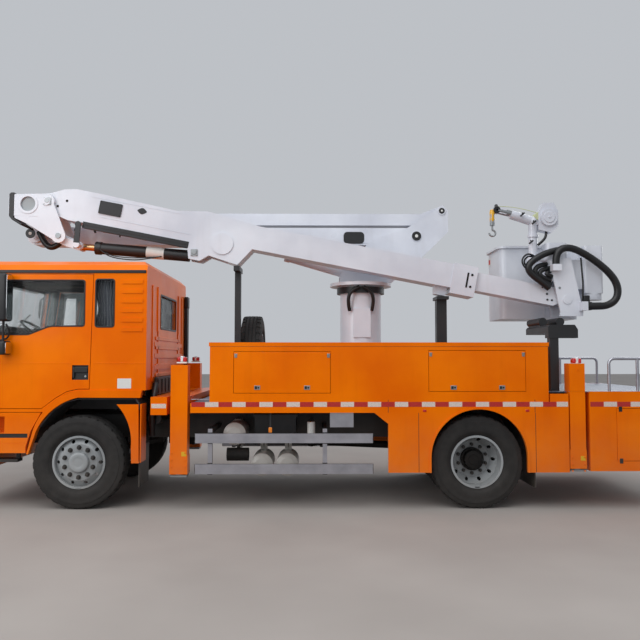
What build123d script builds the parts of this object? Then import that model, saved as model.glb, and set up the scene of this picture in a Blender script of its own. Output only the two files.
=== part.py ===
from build123d import *
import math
import os

# Cherry picker truck: two-axle truck with a service body, four outriggers, an articulated
# and telescopic boom and an insulated bucket. Millimetres, +Z up, front towards -X.
# Everything is drawn from the front axle and moved to the middle of the truck at the end.

# Whole truck
FRONT_OVERHANG = 1390
WHEELBASE = 4500
REAR_OVERHANG = 2450
BODY_HALF = 1250
# The body is built this much wider than the cab on each side
CAB_INSET = 50
CAB_HALF = BODY_HALF - CAB_INSET
FIT = 0.3
SHUT_GAP = 7
FRONT_X = -FRONT_OVERHANG
REAR_X = WHEELBASE + REAR_OVERHANG
SIDES = {"left": -1, "right": 1}

# Wheels and axles
TYRE_RADIUS = 522
TYRE_WIDTH = 298
RIM_RADIUS = 298
RIM_WALL = 12
WHEEL_STUDS = 10
FRONT_TRACK_HALF = CAB_HALF - TYRE_WIDTH / 2
KINGPIN_HALF = FRONT_TRACK_HALF - 151
KINGPIN_RADIUS = 24
REAR_OUTER_HALF = BODY_HALF - 190
DUAL_SPACING = 340
STUB_RADIUS = 45
REAR_SPINDLE_RADIUS = 60
AXLE_TUBE_RADIUS = 75

# Frame
RAIL_HALF = 425
RAIL_HEIGHT = 280
RAIL_FLANGE = 80
RAIL_PLATE = 12
RAIL_TOP = 1000
RAIL_FRONT = -1100
SUBFRAME_WIDTH = 70
DECK_TOP = 1190
DECK_PLATE = 10
REAR_DECK_TOP = 1318


def block(x0, x1, y0, y1, z0, z1):
    centre = ((x0 + x1) / 2, (y0 + y1) / 2, (z0 + z1) / 2)
    return Pos(*centre) * Box(abs(x1 - x0), abs(y1 - y0), abs(z1 - z0))


def outline(points, radius=0):
    if radius:
        return FilletPolyline(*points, radius=radius, close=True)
    return Polyline(*points, close=True)


def prism_y(points, y0, y1, radius=0):
    """Outline of (x, z) points carried across the truck from y0 to y1."""
    low = min(y0, y1)
    edge = outline([(x, low, z) for x, z in points], radius)
    return extrude(make_face(edge), amount=abs(y1 - y0), dir=(0, 1, 0))


def prism_x(points, x0, x1, radius=0):
    """Outline of (y, z) points carried along the truck from x0 to x1."""
    low = min(x0, x1)
    edge = outline([(low, y, z) for y, z in points], radius)
    return extrude(make_face(edge), amount=abs(x1 - x0), dir=(1, 0, 0))


def prism_z(points, z0, z1, radius=0):
    """Outline of (x, y) points carried up from z0 to z1."""
    edge = outline([(x, y, z0) for x, y in points], radius)
    return extrude(make_face(edge), amount=z1 - z0, dir=(0, 0, 1))


def rod_x(y, z, radius, x0, x1):
    return Pos((x0 + x1) / 2, y, z) * Rot(0, 90, 0) * Cylinder(radius, abs(x1 - x0))


def rod_y(x, z, radius, y0, y1):
    return Pos(x, (y0 + y1) / 2, z) * Rot(90, 0, 0) * Cylinder(radius, abs(y1 - y0))


def rod_z(x, y, radius, z0, z1):
    return Pos(x, y, (z0 + z1) / 2) * Cylinder(radius, z1 - z0)


def rod_between(start, end, radius):
    """Round bar from one point to another."""
    axis = Vector(*end) - Vector(*start)
    return extrude(Plane(origin=start, z_dir=axis) * Circle(radius), amount=axis.length)


def turned_y(profile, x, z, side=1):
    """Ring turned about an axle: profile rows are (distance from the middle, radius)."""
    edge = Polyline(*[(0, y, r) for y, r in profile], close=True)
    ring = revolve(make_face(edge), axis=Axis.Y)
    if side < 0:
        ring = mirror(ring, about=Plane.XZ)
    return Pos(x, 0, z) * ring


def rounded_box(x0, x1, y0, y1, z0, z1, radius):
    """Box with its four upright edges rounded."""
    corners = [(x0, y0), (x1, y0), (x1, y1), (x0, y1)]
    return prism_z(corners, z0, z1, radius)


def fuse(pieces):
    return pieces[0] + pieces[1:]


# Frame: two channel rails, cross members and the sub-frame of the service body
CROSS_MEMBERS = [-1040, 720, 1600, 2900, WHEELBASE - 800, WHEELBASE + 500, REAR_X - 850, REAR_X - 90]
CROSS_MEMBER_HEIGHT = 180
CROSS_MEMBER_LENGTH = 90
CAB_REAR = 750
HOUSING_FRONT_START = CAB_REAR + 50
HOUSING_FRONT_END = CAB_REAR + 490
HOUSING_REAR_START = WHEELBASE + 820
HOUSING_REAR_END = WHEELBASE + 1240
HOUSING_BOTTOM = 1055
REAR_BAR_BOTTOM = 480
UNDERRUN_HALF = BODY_HALF - 650


def chassis_frame():
    web_inner = RAIL_HALF - RAIL_PLATE
    flange_inner = RAIL_HALF - RAIL_FLANGE
    bottom = RAIL_TOP - RAIL_HEIGHT
    rail_end = REAR_X - 20
    pieces = []
    for side in SIDES.values():
        rail = block(RAIL_FRONT, rail_end, side * flange_inner, side * RAIL_HALF, bottom, RAIL_TOP)
        rail -= block(RAIL_FRONT, rail_end, side * (flange_inner - 1), side * web_inner,
                      bottom + RAIL_PLATE, RAIL_TOP - RAIL_PLATE)
        pieces.append(rail)
        # The sub-frame stops at each outrigger housing, which stands on a pad of its own
        low_end = RAIL_HALF - SUBFRAME_WIDTH
        for start, end in [(HOUSING_FRONT_END + 20, HOUSING_REAR_START - 20),
                           (HOUSING_REAR_END + 20, rail_end)]:
            pieces.append(block(start, end, side * low_end, side * RAIL_HALF,
                                RAIL_TOP, DECK_TOP - DECK_PLATE))
        for start, end in [(HOUSING_FRONT_START, HOUSING_FRONT_END),
                           (HOUSING_REAR_START, HOUSING_REAR_END)]:
            pieces.append(block(start, end, side * low_end, side * RAIL_HALF,
                                RAIL_TOP, HOUSING_BOTTOM))
    middle = RAIL_TOP - RAIL_HEIGHT / 2
    for x in CROSS_MEMBERS:
        pieces.append(block(x - CROSS_MEMBER_LENGTH / 2, x + CROSS_MEMBER_LENGTH / 2,
                            -web_inner, web_inner,
                            middle - CROSS_MEMBER_HEIGHT / 2, middle + CROSS_MEMBER_HEIGHT / 2))
    # Rear under-run bar on two hangers, between the tool boxes
    pieces.append(block(rail_end - 100, rail_end, -UNDERRUN_HALF, UNDERRUN_HALF, REAR_BAR_BOTTOM, REAR_BAR_BOTTOM + 110))
    for side in SIDES.values():
        pieces.append(block(rail_end - 80, rail_end - 20, side * 330, side * 400,
                            REAR_BAR_BOTTOM + 50, bottom + 40))
    return fuse(pieces)


# Axles with their leaf springs
SPRING_HALF = 385
SPRING_WIDTH = 80
SPRING_LEAF = 90
FRONT_SPRING_REACH = 760
REAR_SPRING_REACH = 720
BEAM_DROP = 60
SEAT_SINK = 15


def leaf_spring(axle_x, side, reach, seat_z):
    """Sagging stack of leaves, bolted to the axle seat and to two hangers on the rail."""
    eye_z = RAIL_TOP - RAIL_HEIGHT - 35
    y0 = side * (SPRING_HALF - SPRING_WIDTH / 2)
    y1 = side * (SPRING_HALF + SPRING_WIDTH / 2)
    low = min(y0, y1)
    middle_z = seat_z + SPRING_LEAF / 2
    points = [(axle_x - reach, low, eye_z), (axle_x, low, middle_z), (axle_x + reach, low, eye_z)]
    top = ThreePointArc(*[(x, y, z + 20) for x, y, z in points])
    lower = ThreePointArc(*[(points[0][0], low, eye_z - 20), (axle_x, low, seat_z),
                            (points[2][0], low, eye_z - 20)])
    ends = [Line(top @ 0, lower @ 0), Line(top @ 1, lower @ 1)]
    stack = extrude(make_face([top, lower] + ends), amount=SPRING_WIDTH, dir=(0, 1, 0))
    for x in (axle_x - reach, axle_x + reach):
        stack += rod_y(x, eye_z, 34, y0, y1)
        stack += block(x - 30, x + 30, y0, y1, eye_z, RAIL_TOP - RAIL_HEIGHT)
    return stack


def front_axle():
    wheel_z = TYRE_RADIUS
    seat_z = wheel_z + 40
    end = KINGPIN_HALF - 40
    profile = [(-end, wheel_z - 60), (-end, wheel_z + 60),
               (-640, wheel_z + 40), (-500, wheel_z - BEAM_DROP + 60), (500, wheel_z - BEAM_DROP + 60),
               (640, wheel_z + 40), (end, wheel_z + 60), (end, wheel_z - 60),
               (560, wheel_z - BEAM_DROP - 60),
               (-560, wheel_z - BEAM_DROP - 60)]
    beam = prism_x(profile, -50, 50)
    beam -= block(20, 51, -480, 480, wheel_z - BEAM_DROP - 35, wheel_z - BEAM_DROP + 35)
    beam -= block(-51, -20, -480, 480, wheel_z - BEAM_DROP - 35, wheel_z - BEAM_DROP + 35)
    for side in SIDES.values():
        boss = rod_z(0, side * KINGPIN_HALF, 52, wheel_z - 62, wheel_z + 62)
        beam += boss
        beam += block(-50, 50, side * (SPRING_HALF - 50), side * (SPRING_HALF + 50),
                      wheel_z - BEAM_DROP, seat_z + SEAT_SINK)
        beam += leaf_spring(0, side, FRONT_SPRING_REACH, seat_z)
    for side in SIDES.values():
        beam -= rod_z(0, side * KINGPIN_HALF, KINGPIN_RADIUS + FIT, wheel_z - 70, wheel_z + 70)
    return beam


def rear_axle():
    wheel_z = TYRE_RADIUS
    seat_z = wheel_z + AXLE_TUBE_RADIUS - 5
    x = WHEELBASE
    tube_end = REAR_OUTER_HALF - DUAL_SPACING - 130
    axle = rod_y(x, wheel_z, AXLE_TUBE_RADIUS, -tube_end, tube_end)
    axle += rod_y(x, wheel_z, REAR_SPINDLE_RADIUS, -REAR_OUTER_HALF + 90, REAR_OUTER_HALF - 90)
    # Banjo: a round casing in the middle with the differential's dome and the input flange
    axle += rod_x(0, wheel_z, 205, x - 90, x + 90)
    axle += rod_x(0, wheel_z, 170, x + 60, x + 150) + rod_x(0, wheel_z, 115, x + 60, x + 205)
    axle += rod_x(0, wheel_z, 110, x - 260, x - 60)
    for side in SIDES.values():
        axle += block(x - 60, x + 60, side * (SPRING_HALF - 50), side * (SPRING_HALF + 50),
                      wheel_z, seat_z + SEAT_SINK)
        axle += leaf_spring(x, side, REAR_SPRING_REACH, seat_z)
    return axle


# Cab: a hollow shell whose side and cross outlines are cut from each other
CAB_FRONT = FRONT_X + 28
CAB_FLOOR = 1090
CAB_REAR_FLOOR = 1332
CAB_WALL = 50
BELT_Z = 1940
ROOF_EDGE_Z = 2700
ROOF_Z = 2812
WINDSCREEN_TOP_X = -1255
ARCH_START_X = -13
DOOR_FRONT_X = -1180
DOOR_REAR_TOP_X = 139
DOOR_REAR_LOW_X = 109
DOOR_BOTTOM = 1131
DOOR_TOP = 2650
DOOR_TOP_FRONT_X = -1085
DOOR_HINGE_INSET = 10
DOOR_BEVEL = 13
DOOR_PIN_RADIUS = 8
DOOR_PIN_LENGTH = 20
SIDE_WINDOW = [(52, 2590), (52, 2051), (-342, 2051), (-586, 1955), (-1090, 1955), (-1030, 2590)]
QUARTER_WINDOW = [(160, 2601), (160, 2042), (387, 2042), (387, 2601)]
WINDOW_CORNER = 35
WINDSCREEN_HALF = CAB_HALF - 110
WINDSCREEN_LOW = 2000
WINDSCREEN_HIGH = 2660
BACK_WINDOW_HALF = 480
BACK_WINDOW_LOW = 2060
BACK_WINDOW_HIGH = 2480
GLASS = 10
LIP_WIDTH = 82
LIP_PROUD = 12
RIB_PITCH = 109
RIB_COUNT = 6
RIB_LOW_Z = 2020
RIB_PROUD = 9


def cab_side_outline():
    """Side view of the cab, with the quarter round of the wheel arch under the door."""
    return [Line((CAB_REAR, 0, ROOF_Z - 60), (CAB_REAR, 0, CAB_REAR_FLOOR)),
            Line((CAB_REAR, 0, CAB_REAR_FLOOR), (ARCH_START_X, 0, CAB_REAR_FLOOR)),
            ThreePointArc((ARCH_START_X, 0, CAB_REAR_FLOOR), (-215, 0, 1255),
                          (-377, 0, CAB_FLOOR)),
            Line((-377, 0, CAB_FLOOR), (CAB_FRONT, 0, CAB_FLOOR)),
            Line((CAB_FRONT, 0, CAB_FLOOR), (CAB_FRONT, 0, BELT_Z)),
            Line((CAB_FRONT, 0, BELT_Z), (WINDSCREEN_TOP_X, 0, ROOF_EDGE_Z)),
            Line((WINDSCREEN_TOP_X, 0, ROOF_EDGE_Z), (-1090, 0, ROOF_Z)),
            Line((-1090, 0, ROOF_Z), (CAB_REAR - 60, 0, ROOF_Z)),
            Line((CAB_REAR - 60, 0, ROOF_Z), (CAB_REAR, 0, ROOF_Z - 60))]


def cab_form(inset):
    """Body of the cab drawn in by the same distance on every side."""
    side = make_face(cab_side_outline())
    if inset:
        side = offset(side, amount=-inset, kind=Kind.INTERSECTION)
    half = CAB_HALF - inset
    top = ROOF_Z - inset
    length = extrude(side, amount=CAB_HALF, dir=(0, 1, 0), both=True)
    section = [(-half, CAB_FLOOR - 50), (-half, ROOF_EDGE_Z - inset), (-half + 30, top - 50),
               (-half + 130, top), (half - 130, top), (half - 30, top - 50),
               (half, ROOF_EDGE_Z - inset), (half, CAB_FLOOR - 50)]
    return length & prism_x(section, CAB_FRONT - 50, CAB_REAR + 50)


def door_outline(grow):
    """Door seen from the side, drawn out by grow for its opening."""
    points = [(DOOR_FRONT_X - grow, DOOR_BOTTOM - grow), (-420 - grow / 2, DOOR_BOTTOM - grow),
              (-270, 1246 - grow), (-140, 1322 - grow), (-20, CAB_REAR_FLOOR + 18 - grow),
              (DOOR_REAR_LOW_X + grow, CAB_REAR_FLOOR + 18 - grow),
              (DOOR_REAR_TOP_X + grow, DOOR_TOP + grow),
              (DOOR_TOP_FRONT_X - grow, DOOR_TOP + grow), (DOOR_FRONT_X - grow, BELT_Z + grow)]
    return points


def windscreen_prism(shrink):
    half = WINDSCREEN_HALF - shrink
    corners = [(-half, WINDSCREEN_LOW + shrink), (half, WINDSCREEN_LOW + shrink),
               (half - 60, WINDSCREEN_HIGH - shrink), (-half + 60, WINDSCREEN_HIGH - shrink)]
    return prism_x(corners, CAB_FRONT - 20, -1000, WINDOW_CORNER)


def back_window_prism(shrink):
    half = BACK_WINDOW_HALF - shrink
    corners = [(-half, BACK_WINDOW_LOW + shrink), (half, BACK_WINDOW_LOW + shrink),
               (half, BACK_WINDOW_HIGH - shrink), (-half, BACK_WINDOW_HIGH - shrink)]
    return prism_x(corners, CAB_REAR - 120, CAB_REAR + 20, WINDOW_CORNER)


def quarter_prism(shrink, y0, y1):
    (x0, high), (_, low), (x1, _), _ = QUARTER_WINDOW
    corners = [(x0 + shrink, low + shrink), (x1 - shrink, low + shrink),
               (x1 - shrink, high - shrink), (x0 + shrink, high - shrink)]
    return prism_y(corners, y0, y1, WINDOW_CORNER)


def hinge_pins(side, grow):
    """Upright door pins, one under the door and one over its corner at the belt."""
    x = DOOR_FRONT_X + DOOR_HINGE_INSET
    y = side * (CAB_HALF - DOOR_HINGE_INSET)
    radius = DOOR_PIN_RADIUS + grow
    low = rod_z(x, y, radius, DOOR_BOTTOM - DOOR_PIN_LENGTH - grow, DOOR_BOTTOM + 1)
    high = rod_z(x, y, radius, BELT_Z - 40, BELT_Z + DOOR_PIN_LENGTH + 15 + grow)
    return [low, high]


def wheel_lip(side):
    """Raised edge that runs over the front wheel and back along the foot of the cab."""
    y0 = side * (CAB_HALF - CAB_WALL - 20)
    y1 = side * (CAB_HALF + LIP_PROUD)
    low = min(y0, y1)
    upper = [Line((707, low, 1334), (ARCH_START_X, low, 1334)),
             ThreePointArc((ARCH_START_X, low, 1334), (-300, low, 1193), (-510, low, 880)),
             Line((-510, low, 880), (-575, low, 620))]
    lower = [Line((-575, low, 620), (-556, low, 620)),
             Line((-556, low, 620), (-474, low, 872)),
             ThreePointArc((-474, low, 872), (-286, low, 1120), (ARCH_START_X, low, 1252)),
             Line((ARCH_START_X, low, 1252), (690, low, 1249)),
             Line((690, low, 1249), (707, low, 1334))]
    return extrude(make_face(upper + lower), amount=abs(y1 - y0), dir=(0, 1, 0))


def cab_shell():
    shell = cab_form(0) - cab_form(CAB_WALL)
    for side in SIDES.values():
        inner = side * (CAB_HALF - CAB_WALL - 5)
        outer = side * (CAB_HALF + 5)
        shell -= prism_y(door_outline(SHUT_GAP), inner, outer)
        shell -= quarter_prism(0, inner, outer)
        shell -= hinge_pins(side, FIT)
        shell += wheel_lip(side)
        # Pressed ribs behind the quarter window
        for number in range(RIB_COUNT):
            z = RIB_LOW_Z + number * RIB_PITCH
            shell += block(470, 705, side * (CAB_HALF - 5), side * (CAB_HALF + RIB_PROUD),
                           z - 22, z + 22)
    shell -= windscreen_prism(0)
    shell -= back_window_prism(0)
    # Pressed ribs of the back wall, under the window and at its sides
    for z in (1560, 1700, 1840):
        shell += block(CAB_REAR - 5, CAB_REAR + 14, -850, 850, z, z + 50)
    for side in SIDES.values():
        shell += block(CAB_REAR - 5, CAB_REAR + 14, side * 620, side * 670, 2020, 2560)
        # Cab mounts from the floor down to the frame
        shell += block(440, 560, side * (RAIL_HALF - 70), side * (RAIL_HALF + 20),
                       RAIL_TOP, CAB_REAR_FLOOR + 5)
        shell += block(-1090, -1010, side * (RAIL_HALF - 70), side * (RAIL_HALF + 20),
                       RAIL_TOP, CAB_FLOOR + 5)
    return shell


def cab_door(side):
    inner = side * (CAB_HALF - CAB_WALL)
    outer = side * CAB_HALF
    door = prism_y(door_outline(0), inner, outer)
    door -= prism_y(SIDE_WINDOW, inner - side * 5, outer + side * 5, WINDOW_CORNER)
    # The front edge is rounded about the hinge so that it turns inside its gap
    hinge_x = DOOR_FRONT_X + DOOR_HINGE_INSET
    hinge_y = side * (CAB_HALF - DOOR_HINGE_INSET)
    corner = block(DOOR_FRONT_X, hinge_x, hinge_y, outer, DOOR_BOTTOM, BELT_Z)
    door -= corner - rod_z(hinge_x, hinge_y, DOOR_HINGE_INSET, DOOR_BOTTOM, BELT_Z)
    # Over the belt the edge leans back, and a bevel along it does the same
    bevel = make_face(Polyline((DOOR_FRONT_X - 2, outer + side, BELT_Z - 1),
                               (DOOR_FRONT_X + DOOR_BEVEL, outer + side, BELT_Z - 1),
                               (DOOR_FRONT_X - 2, outer - side * DOOR_BEVEL, BELT_Z - 1), close=True))
    lean = (DOOR_TOP_FRONT_X - DOOR_FRONT_X, 0, DOOR_TOP - BELT_Z)
    door -= extrude(bevel, amount=math.hypot(lean[0], lean[2]) + 10, dir=lean)
    # Recess of the handle, beside the rear shut line
    door -= block(-84, 100, outer - side * 24, outer + side, 1452, 1617)
    door += block(-70, 80, outer - side * 25, outer - side * 6, 1540, 1575)
    door += hinge_pins(side, 0)
    return door


def cab_glass():
    panes = []
    half_wall = CAB_HALF - CAB_WALL / 2
    for side in SIDES.values():
        panes.append(quarter_prism(FIT, side * half_wall, side * (half_wall + GLASS)))
    # The windscreen leans with the front of the cab
    lean = math.atan2(WINDSCREEN_TOP_X - CAB_FRONT, ROOF_EDGE_Z - BELT_Z)
    step = 18 / math.cos(lean)
    slab = [(CAB_FRONT + step, BELT_Z), (WINDSCREEN_TOP_X + step, ROOF_EDGE_Z),
            (WINDSCREEN_TOP_X + step + GLASS, ROOF_EDGE_Z), (CAB_FRONT + step + GLASS, BELT_Z)]
    panes.append(windscreen_prism(FIT) & prism_y(slab, -CAB_HALF, CAB_HALF))
    back = block(CAB_REAR - 30, CAB_REAR - 30 + GLASS, -CAB_HALF, CAB_HALF,
                 CAB_REAR_FLOOR, ROOF_EDGE_Z)
    panes.append(back_window_prism(FIT) & back)
    return panes


# Cab inside: seats, dashboard, steering column and wheel
SEAT_HALF_WIDTH = 250
SEAT_MIDDLE = 620
STEERING_RADIUS = 225
STEERING_TILT = 35
STEERING_X = -702
STEERING_Z = 2016
COLUMN_LENGTH = 400
# Instrument housing over the column: x, z from the wheel's middle
BINNACLE = [(-448, -136), (-448, 24), (-358, 69), (-198, 44), (-108, -66), (-98, -136), (-298, -326),
            (-358, -326)]
BINNACLE_HALF = 200


def cab_seats():
    floor = CAB_REAR_FLOOR + CAB_WALL
    seats = []
    for side in SIDES.values():
        y = side * SEAT_MIDDLE
        y0, y1 = y - SEAT_HALF_WIDTH, y + SEAT_HALF_WIDTH
        profile = [(-420, floor + 220), (-410, floor + 330), (80, floor + 300), (190, floor + 960),
                   (270, floor + 960), (300, floor + 900), (170, floor + 210)]
        seat = prism_y(profile, y0, y1, 25)
        seat += prism_y([(190, floor + 940), (205, floor + 1130), (275, floor + 1130),
                         (262, floor + 940)], y - 140, y + 140, 20)
        seat += block(-20, 130, y - 180, y + 180, floor, floor + 240)
        seats.append(seat)
    return seats


def dashboard():
    floor = CAB_FLOOR + CAB_WALL
    profile = [(-1300, floor), (-1300, 1900), (-1230, 1955), (-1080, 1925), (-1020, 1800),
               (-1060, 1640), (-1200, 1560), (-1230, floor)]
    dash = prism_y(profile, -CAB_HALF + 70, CAB_HALF - 70)
    side = SIDES["left"]
    y = side * SEAT_MIDDLE
    centre = (STEERING_X, y, STEERING_Z)
    tilt = math.radians(STEERING_TILT)
    foot = (STEERING_X - COLUMN_LENGTH * math.sin(tilt) - 40, y,
            STEERING_Z - COLUMN_LENGTH * math.cos(tilt))
    dash += rod_between(foot, centre, 32)
    dash += prism_y([(STEERING_X + dx, STEERING_Z + dz) for dx, dz in BINNACLE], y - BINNACLE_HALF,
                    y + BINNACLE_HALF, 20)
    ring = Pos(*centre) * Rot(0, STEERING_TILT, 0) * Torus(STEERING_RADIUS, 16)
    spoke = Pos(*centre) * Rot(0, STEERING_TILT, 0) * Box(50, 2 * STEERING_RADIUS, 14)
    hub = Pos(*centre) * Rot(0, STEERING_TILT, 0) * Cylinder(62, 36)
    return dash + [ring, spoke, hub]


# Front bumper with the step boxes under the doors
BUMPER_TOP = 1084
BUMPER_LOW = 420
BUMPER_DEPTH = 150
BUMPER_HALF = CAB_HALF + 15
STEP_REAR = -640
STEP_LOW = 632
# Recess of the step in front of a flat panel, the slot under both and a crease lower down
STEP_ROOM = (FRONT_X + 240, -830)
STEP_ROOM_Z = (855, 1040)
STEP_SLOT_Z = (802, 849)
STEP_CREASE_Z = 738
STEP_LINE_REAR = -570
LAMP_HALF = CAB_HALF - 220
LAMP_WIDTH = 300
LAMP_LOW = 640
LAMP_HIGH = 830
LAMP_DEPTH = 60


def front_bumper():
    plan = [(FRONT_X + 130, -BUMPER_HALF), (FRONT_X + 20, -BUMPER_HALF + 160), (FRONT_X, -700),
            (FRONT_X, 700), (FRONT_X + 20, BUMPER_HALF - 160), (FRONT_X + 130, BUMPER_HALF),
            (FRONT_X + 130 + BUMPER_DEPTH, BUMPER_HALF), (FRONT_X + 130 + BUMPER_DEPTH, -BUMPER_HALF)]
    bumper = prism_z(plan, BUMPER_LOW, BUMPER_TOP)
    # Air intake and number plate recesses, lamp bowls, tow eye hole
    for z0, z1, half in [(870, 1030, 720), (470, 560, 640)]:
        bumper -= block(FRONT_X - 5, FRONT_X + 70, -half, half, z0, z1)
    for z in (905, 950, 995):
        bumper += block(FRONT_X + 10, FRONT_X + 75, -722, 722, z - 8, z + 8)
    for side in SIDES.values():
        middle = side * LAMP_HALF
        bumper -= block(FRONT_X - 5, FRONT_X + 20 + LAMP_DEPTH + 60, middle - LAMP_WIDTH / 2,
                        middle + LAMP_WIDTH / 2, LAMP_LOW, LAMP_HIGH)
        for lamp_y in (middle - 75, middle + 75):
            bumper += rod_x(lamp_y, (LAMP_LOW + LAMP_HIGH) / 2, 68, FRONT_X + 95, FRONT_X + 145)
    for side in SIDES.values():
        outer = side * CAB_HALF
        # Step box: its skin follows the wheel lip, and two treads are let into it
        skin = [(FRONT_X + 200, STEP_LOW), (-590, STEP_LOW), (-590, 700), (-535, 880), (-425, 1084),
                (FRONT_X + 200, 1084)]
        box = prism_y(skin, outer - side * CAB_WALL, outer)
        box += block(FRONT_X + 200, STEP_REAR, outer - side * 300, outer - side * 10,
                     STEP_LOW, 1084)
        box -= block(*STEP_ROOM, outer - side * 220, outer + side * 5, *STEP_ROOM_Z)
        box -= block(STEP_ROOM[0], STEP_LINE_REAR, outer - side * 14, outer + side * 5, *STEP_SLOT_Z)
        box -= block(STEP_ROOM[0], STEP_LINE_REAR - 20, outer - side * 3, outer + side * 5,
                     STEP_CREASE_Z - 4, STEP_CREASE_Z + 4)
        box += block(FRONT_X + 240, STEP_REAR - 60, outer - side * 200, outer - side * 60,
                     STEP_LOW - 110, STEP_LOW - 75)
        for x in (FRONT_X + 270, STEP_REAR - 100):
            box += block(x - 20, x + 20, outer - side * 200, outer - side * 170,
                         STEP_LOW - 110, STEP_LOW + 10)
        bumper += box
    # Brackets back to the rails
    for side in SIDES.values():
        bumper += block(FRONT_X + 250, RAIL_FRONT - FIT, side * (RAIL_HALF - RAIL_FLANGE),
                        side * RAIL_HALF, 740, 980)
    return bumper


# Engine: one plain block between the rails under the cab
ENGINE = {"start": -900, "end": 330, "half": 330, "low": 640, "high": 1020}


def engine_block():
    half = ENGINE["half"]
    motor = block(ENGINE["start"], ENGINE["end"], -half, half, ENGINE["low"], ENGINE["high"])
    # Two feet rest on the rails' lower flanges
    foot_z = RAIL_TOP - RAIL_HEIGHT + RAIL_PLATE
    for side in SIDES.values():
        for x in (-700, 150):
            motor += block(x - 60, x + 60, side * (half - 5), side * (RAIL_HALF - RAIL_PLATE - 15),
                           foot_z + FIT, foot_z + 60)
    return motor


# Mudguards behind the wheels, with their flaps
GUARD_BOARD_X = 640
GUARD_INNER = 640
FLAP_THICKNESS = 12
REAR_FLAP_X = WHEELBASE + 650


def mudguard_front(side):
    """Corner piece behind a front wheel, its front edge an arc about the wheel."""
    outer = side * CAB_HALF
    y0 = outer - side * 50
    low = min(y0, outer)
    front = [ThreePointArc((422, low, 1175), (556, low, 960), (590, low, 700)),
             Line((590, low, 700), (596, low, 516))]
    edges = front + [Line((596, low, 516), (680, low, 516)), Line((680, low, 516), (668, low, 1175)),
                     Line((668, low, 1175), (422, low, 1175))]
    guard = extrude(make_face(edges), amount=abs(outer - y0), dir=(0, 1, 0))
    guard += block(GUARD_BOARD_X, GUARD_BOARD_X + 25, outer, side * GUARD_INNER, 516, 1175)
    # Arm to the frame rail
    guard += block(GUARD_BOARD_X + 5, GUARD_BOARD_X + 45, side * (RAIL_HALF + FIT),
                   outer - side * 200, 880, 940)
    return guard


def rear_wheelhouse(side):
    """Curved sheet over the rear pair of wheels."""
    inner, outer = side * 560, side * (BODY_HALF - 115)
    sheet = rod_y(ARCH_X, ARCH_Z, 590, inner, outer) - rod_y(ARCH_X, ARCH_Z, 578, inner, outer)
    sheet -= block(WHEELBASE - 700, WHEELBASE + 700, inner - side * 5, outer + side * 5, -200, 640)
    # Two hangers to the rail
    for x in (WHEELBASE - 300, WHEELBASE + 330):
        sheet += block(x - 20, x + 20, side * (RAIL_HALF + FIT), side * 600, 1010, 1050)
        sheet += block(x - 20, x + 20, side * 565, side * 600, 1010, 1075)
    return sheet


def mudguards():
    guards = []
    for side in SIDES.values():
        guards.append(mudguard_front(side))
        guards.append(rear_wheelhouse(side))
    return guards


def mud_flaps():
    flaps = []
    for side in SIDES.values():
        x = GUARD_BOARD_X + 25 + FIT
        flaps.append(block(x, x + FLAP_THICKNESS, side * (GUARD_INNER + 60), side * (CAB_HALF - 60),
                           240, 700))
        outer = side * (BODY_HALF - 65)
        top = block(REAR_FLAP_X - 15, REAR_FLAP_X + 25, side * (RAIL_HALF + FIT), outer, 820, 870)
        top += block(REAR_FLAP_X, REAR_FLAP_X + FLAP_THICKNESS, side * 590, outer, 230, 830)
        flaps.append(top)
    return flaps


# Service body: a row of lockers on each side of the deck
LOCKER_FRONT = CAB_REAR + 727
LOCKER_REAR = WHEELBASE + 804
LOCKER_TOP = 1874
LOCKER_DEPTH = 500
LOCKER_WALL = 30
LID_LIP = 45
LID_PROUD = 12
DOOR_THICKNESS = 30
DOOR_GAP = 5
FLAP_PIN_RADIUS = 5
FLAP_PIN_REACH = 18
FLAP_AXIS_INSET = 8
# Locker doors: side, start x, end x, low z, high z
LOCKER_DOORS = {
    "locker_door_left_front": ("left", LOCKER_FRONT + 271, LOCKER_FRONT + 1358, 1305, 1766),
    "locker_door_left_rear": ("left", LOCKER_REAR - 1354, LOCKER_REAR - 260, 1323, 1779),
    "locker_door_right": ("right", LOCKER_FRONT + 271, LOCKER_REAR - 260, 1310, 1772),
}
# Compartments behind them: side, start x, end x
LOCKER_ROOMS = [("left", LOCKER_FRONT + 123, LOCKER_FRONT + 1623),
                ("left", LOCKER_REAR - 1604, LOCKER_REAR - 104),
                ("right", LOCKER_FRONT + 123, LOCKER_REAR - 104)]


def flap_axis(name):
    side_name, _, _, _, high = LOCKER_DOORS[name]
    side = SIDES[side_name]
    return side * (BODY_HALF - FLAP_AXIS_INSET), high - FLAP_AXIS_INSET


def flap_pins(name, grow):
    _, start, end, _, _ = LOCKER_DOORS[name]
    y, z = flap_axis(name)
    return rod_x(y, z, FLAP_PIN_RADIUS + grow, start - FLAP_PIN_REACH - grow,
                 end + FLAP_PIN_REACH + grow)


def locker_door(name):
    side_name, start, end, low_z, high = LOCKER_DOORS[name]
    side = SIDES[side_name]
    outer = side * BODY_HALF
    door = block(start, end, outer, outer - side * DOOR_THICKNESS, low_z, high)
    y, z = flap_axis(name)
    corner = block(start - 1, end + 1, y, outer, z, high) - rod_x(y, z, FLAP_AXIS_INSET,
                                                                 start - 2, end + 2)
    door -= corner
    # Pressed tray inside the door skin
    door -= block(start + 60, end - 60, outer - side * (DOOR_THICKNESS + 1), outer - side * 12,
                  low_z + 60, high - 60)
    return door + flap_pins(name, 0)


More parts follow.
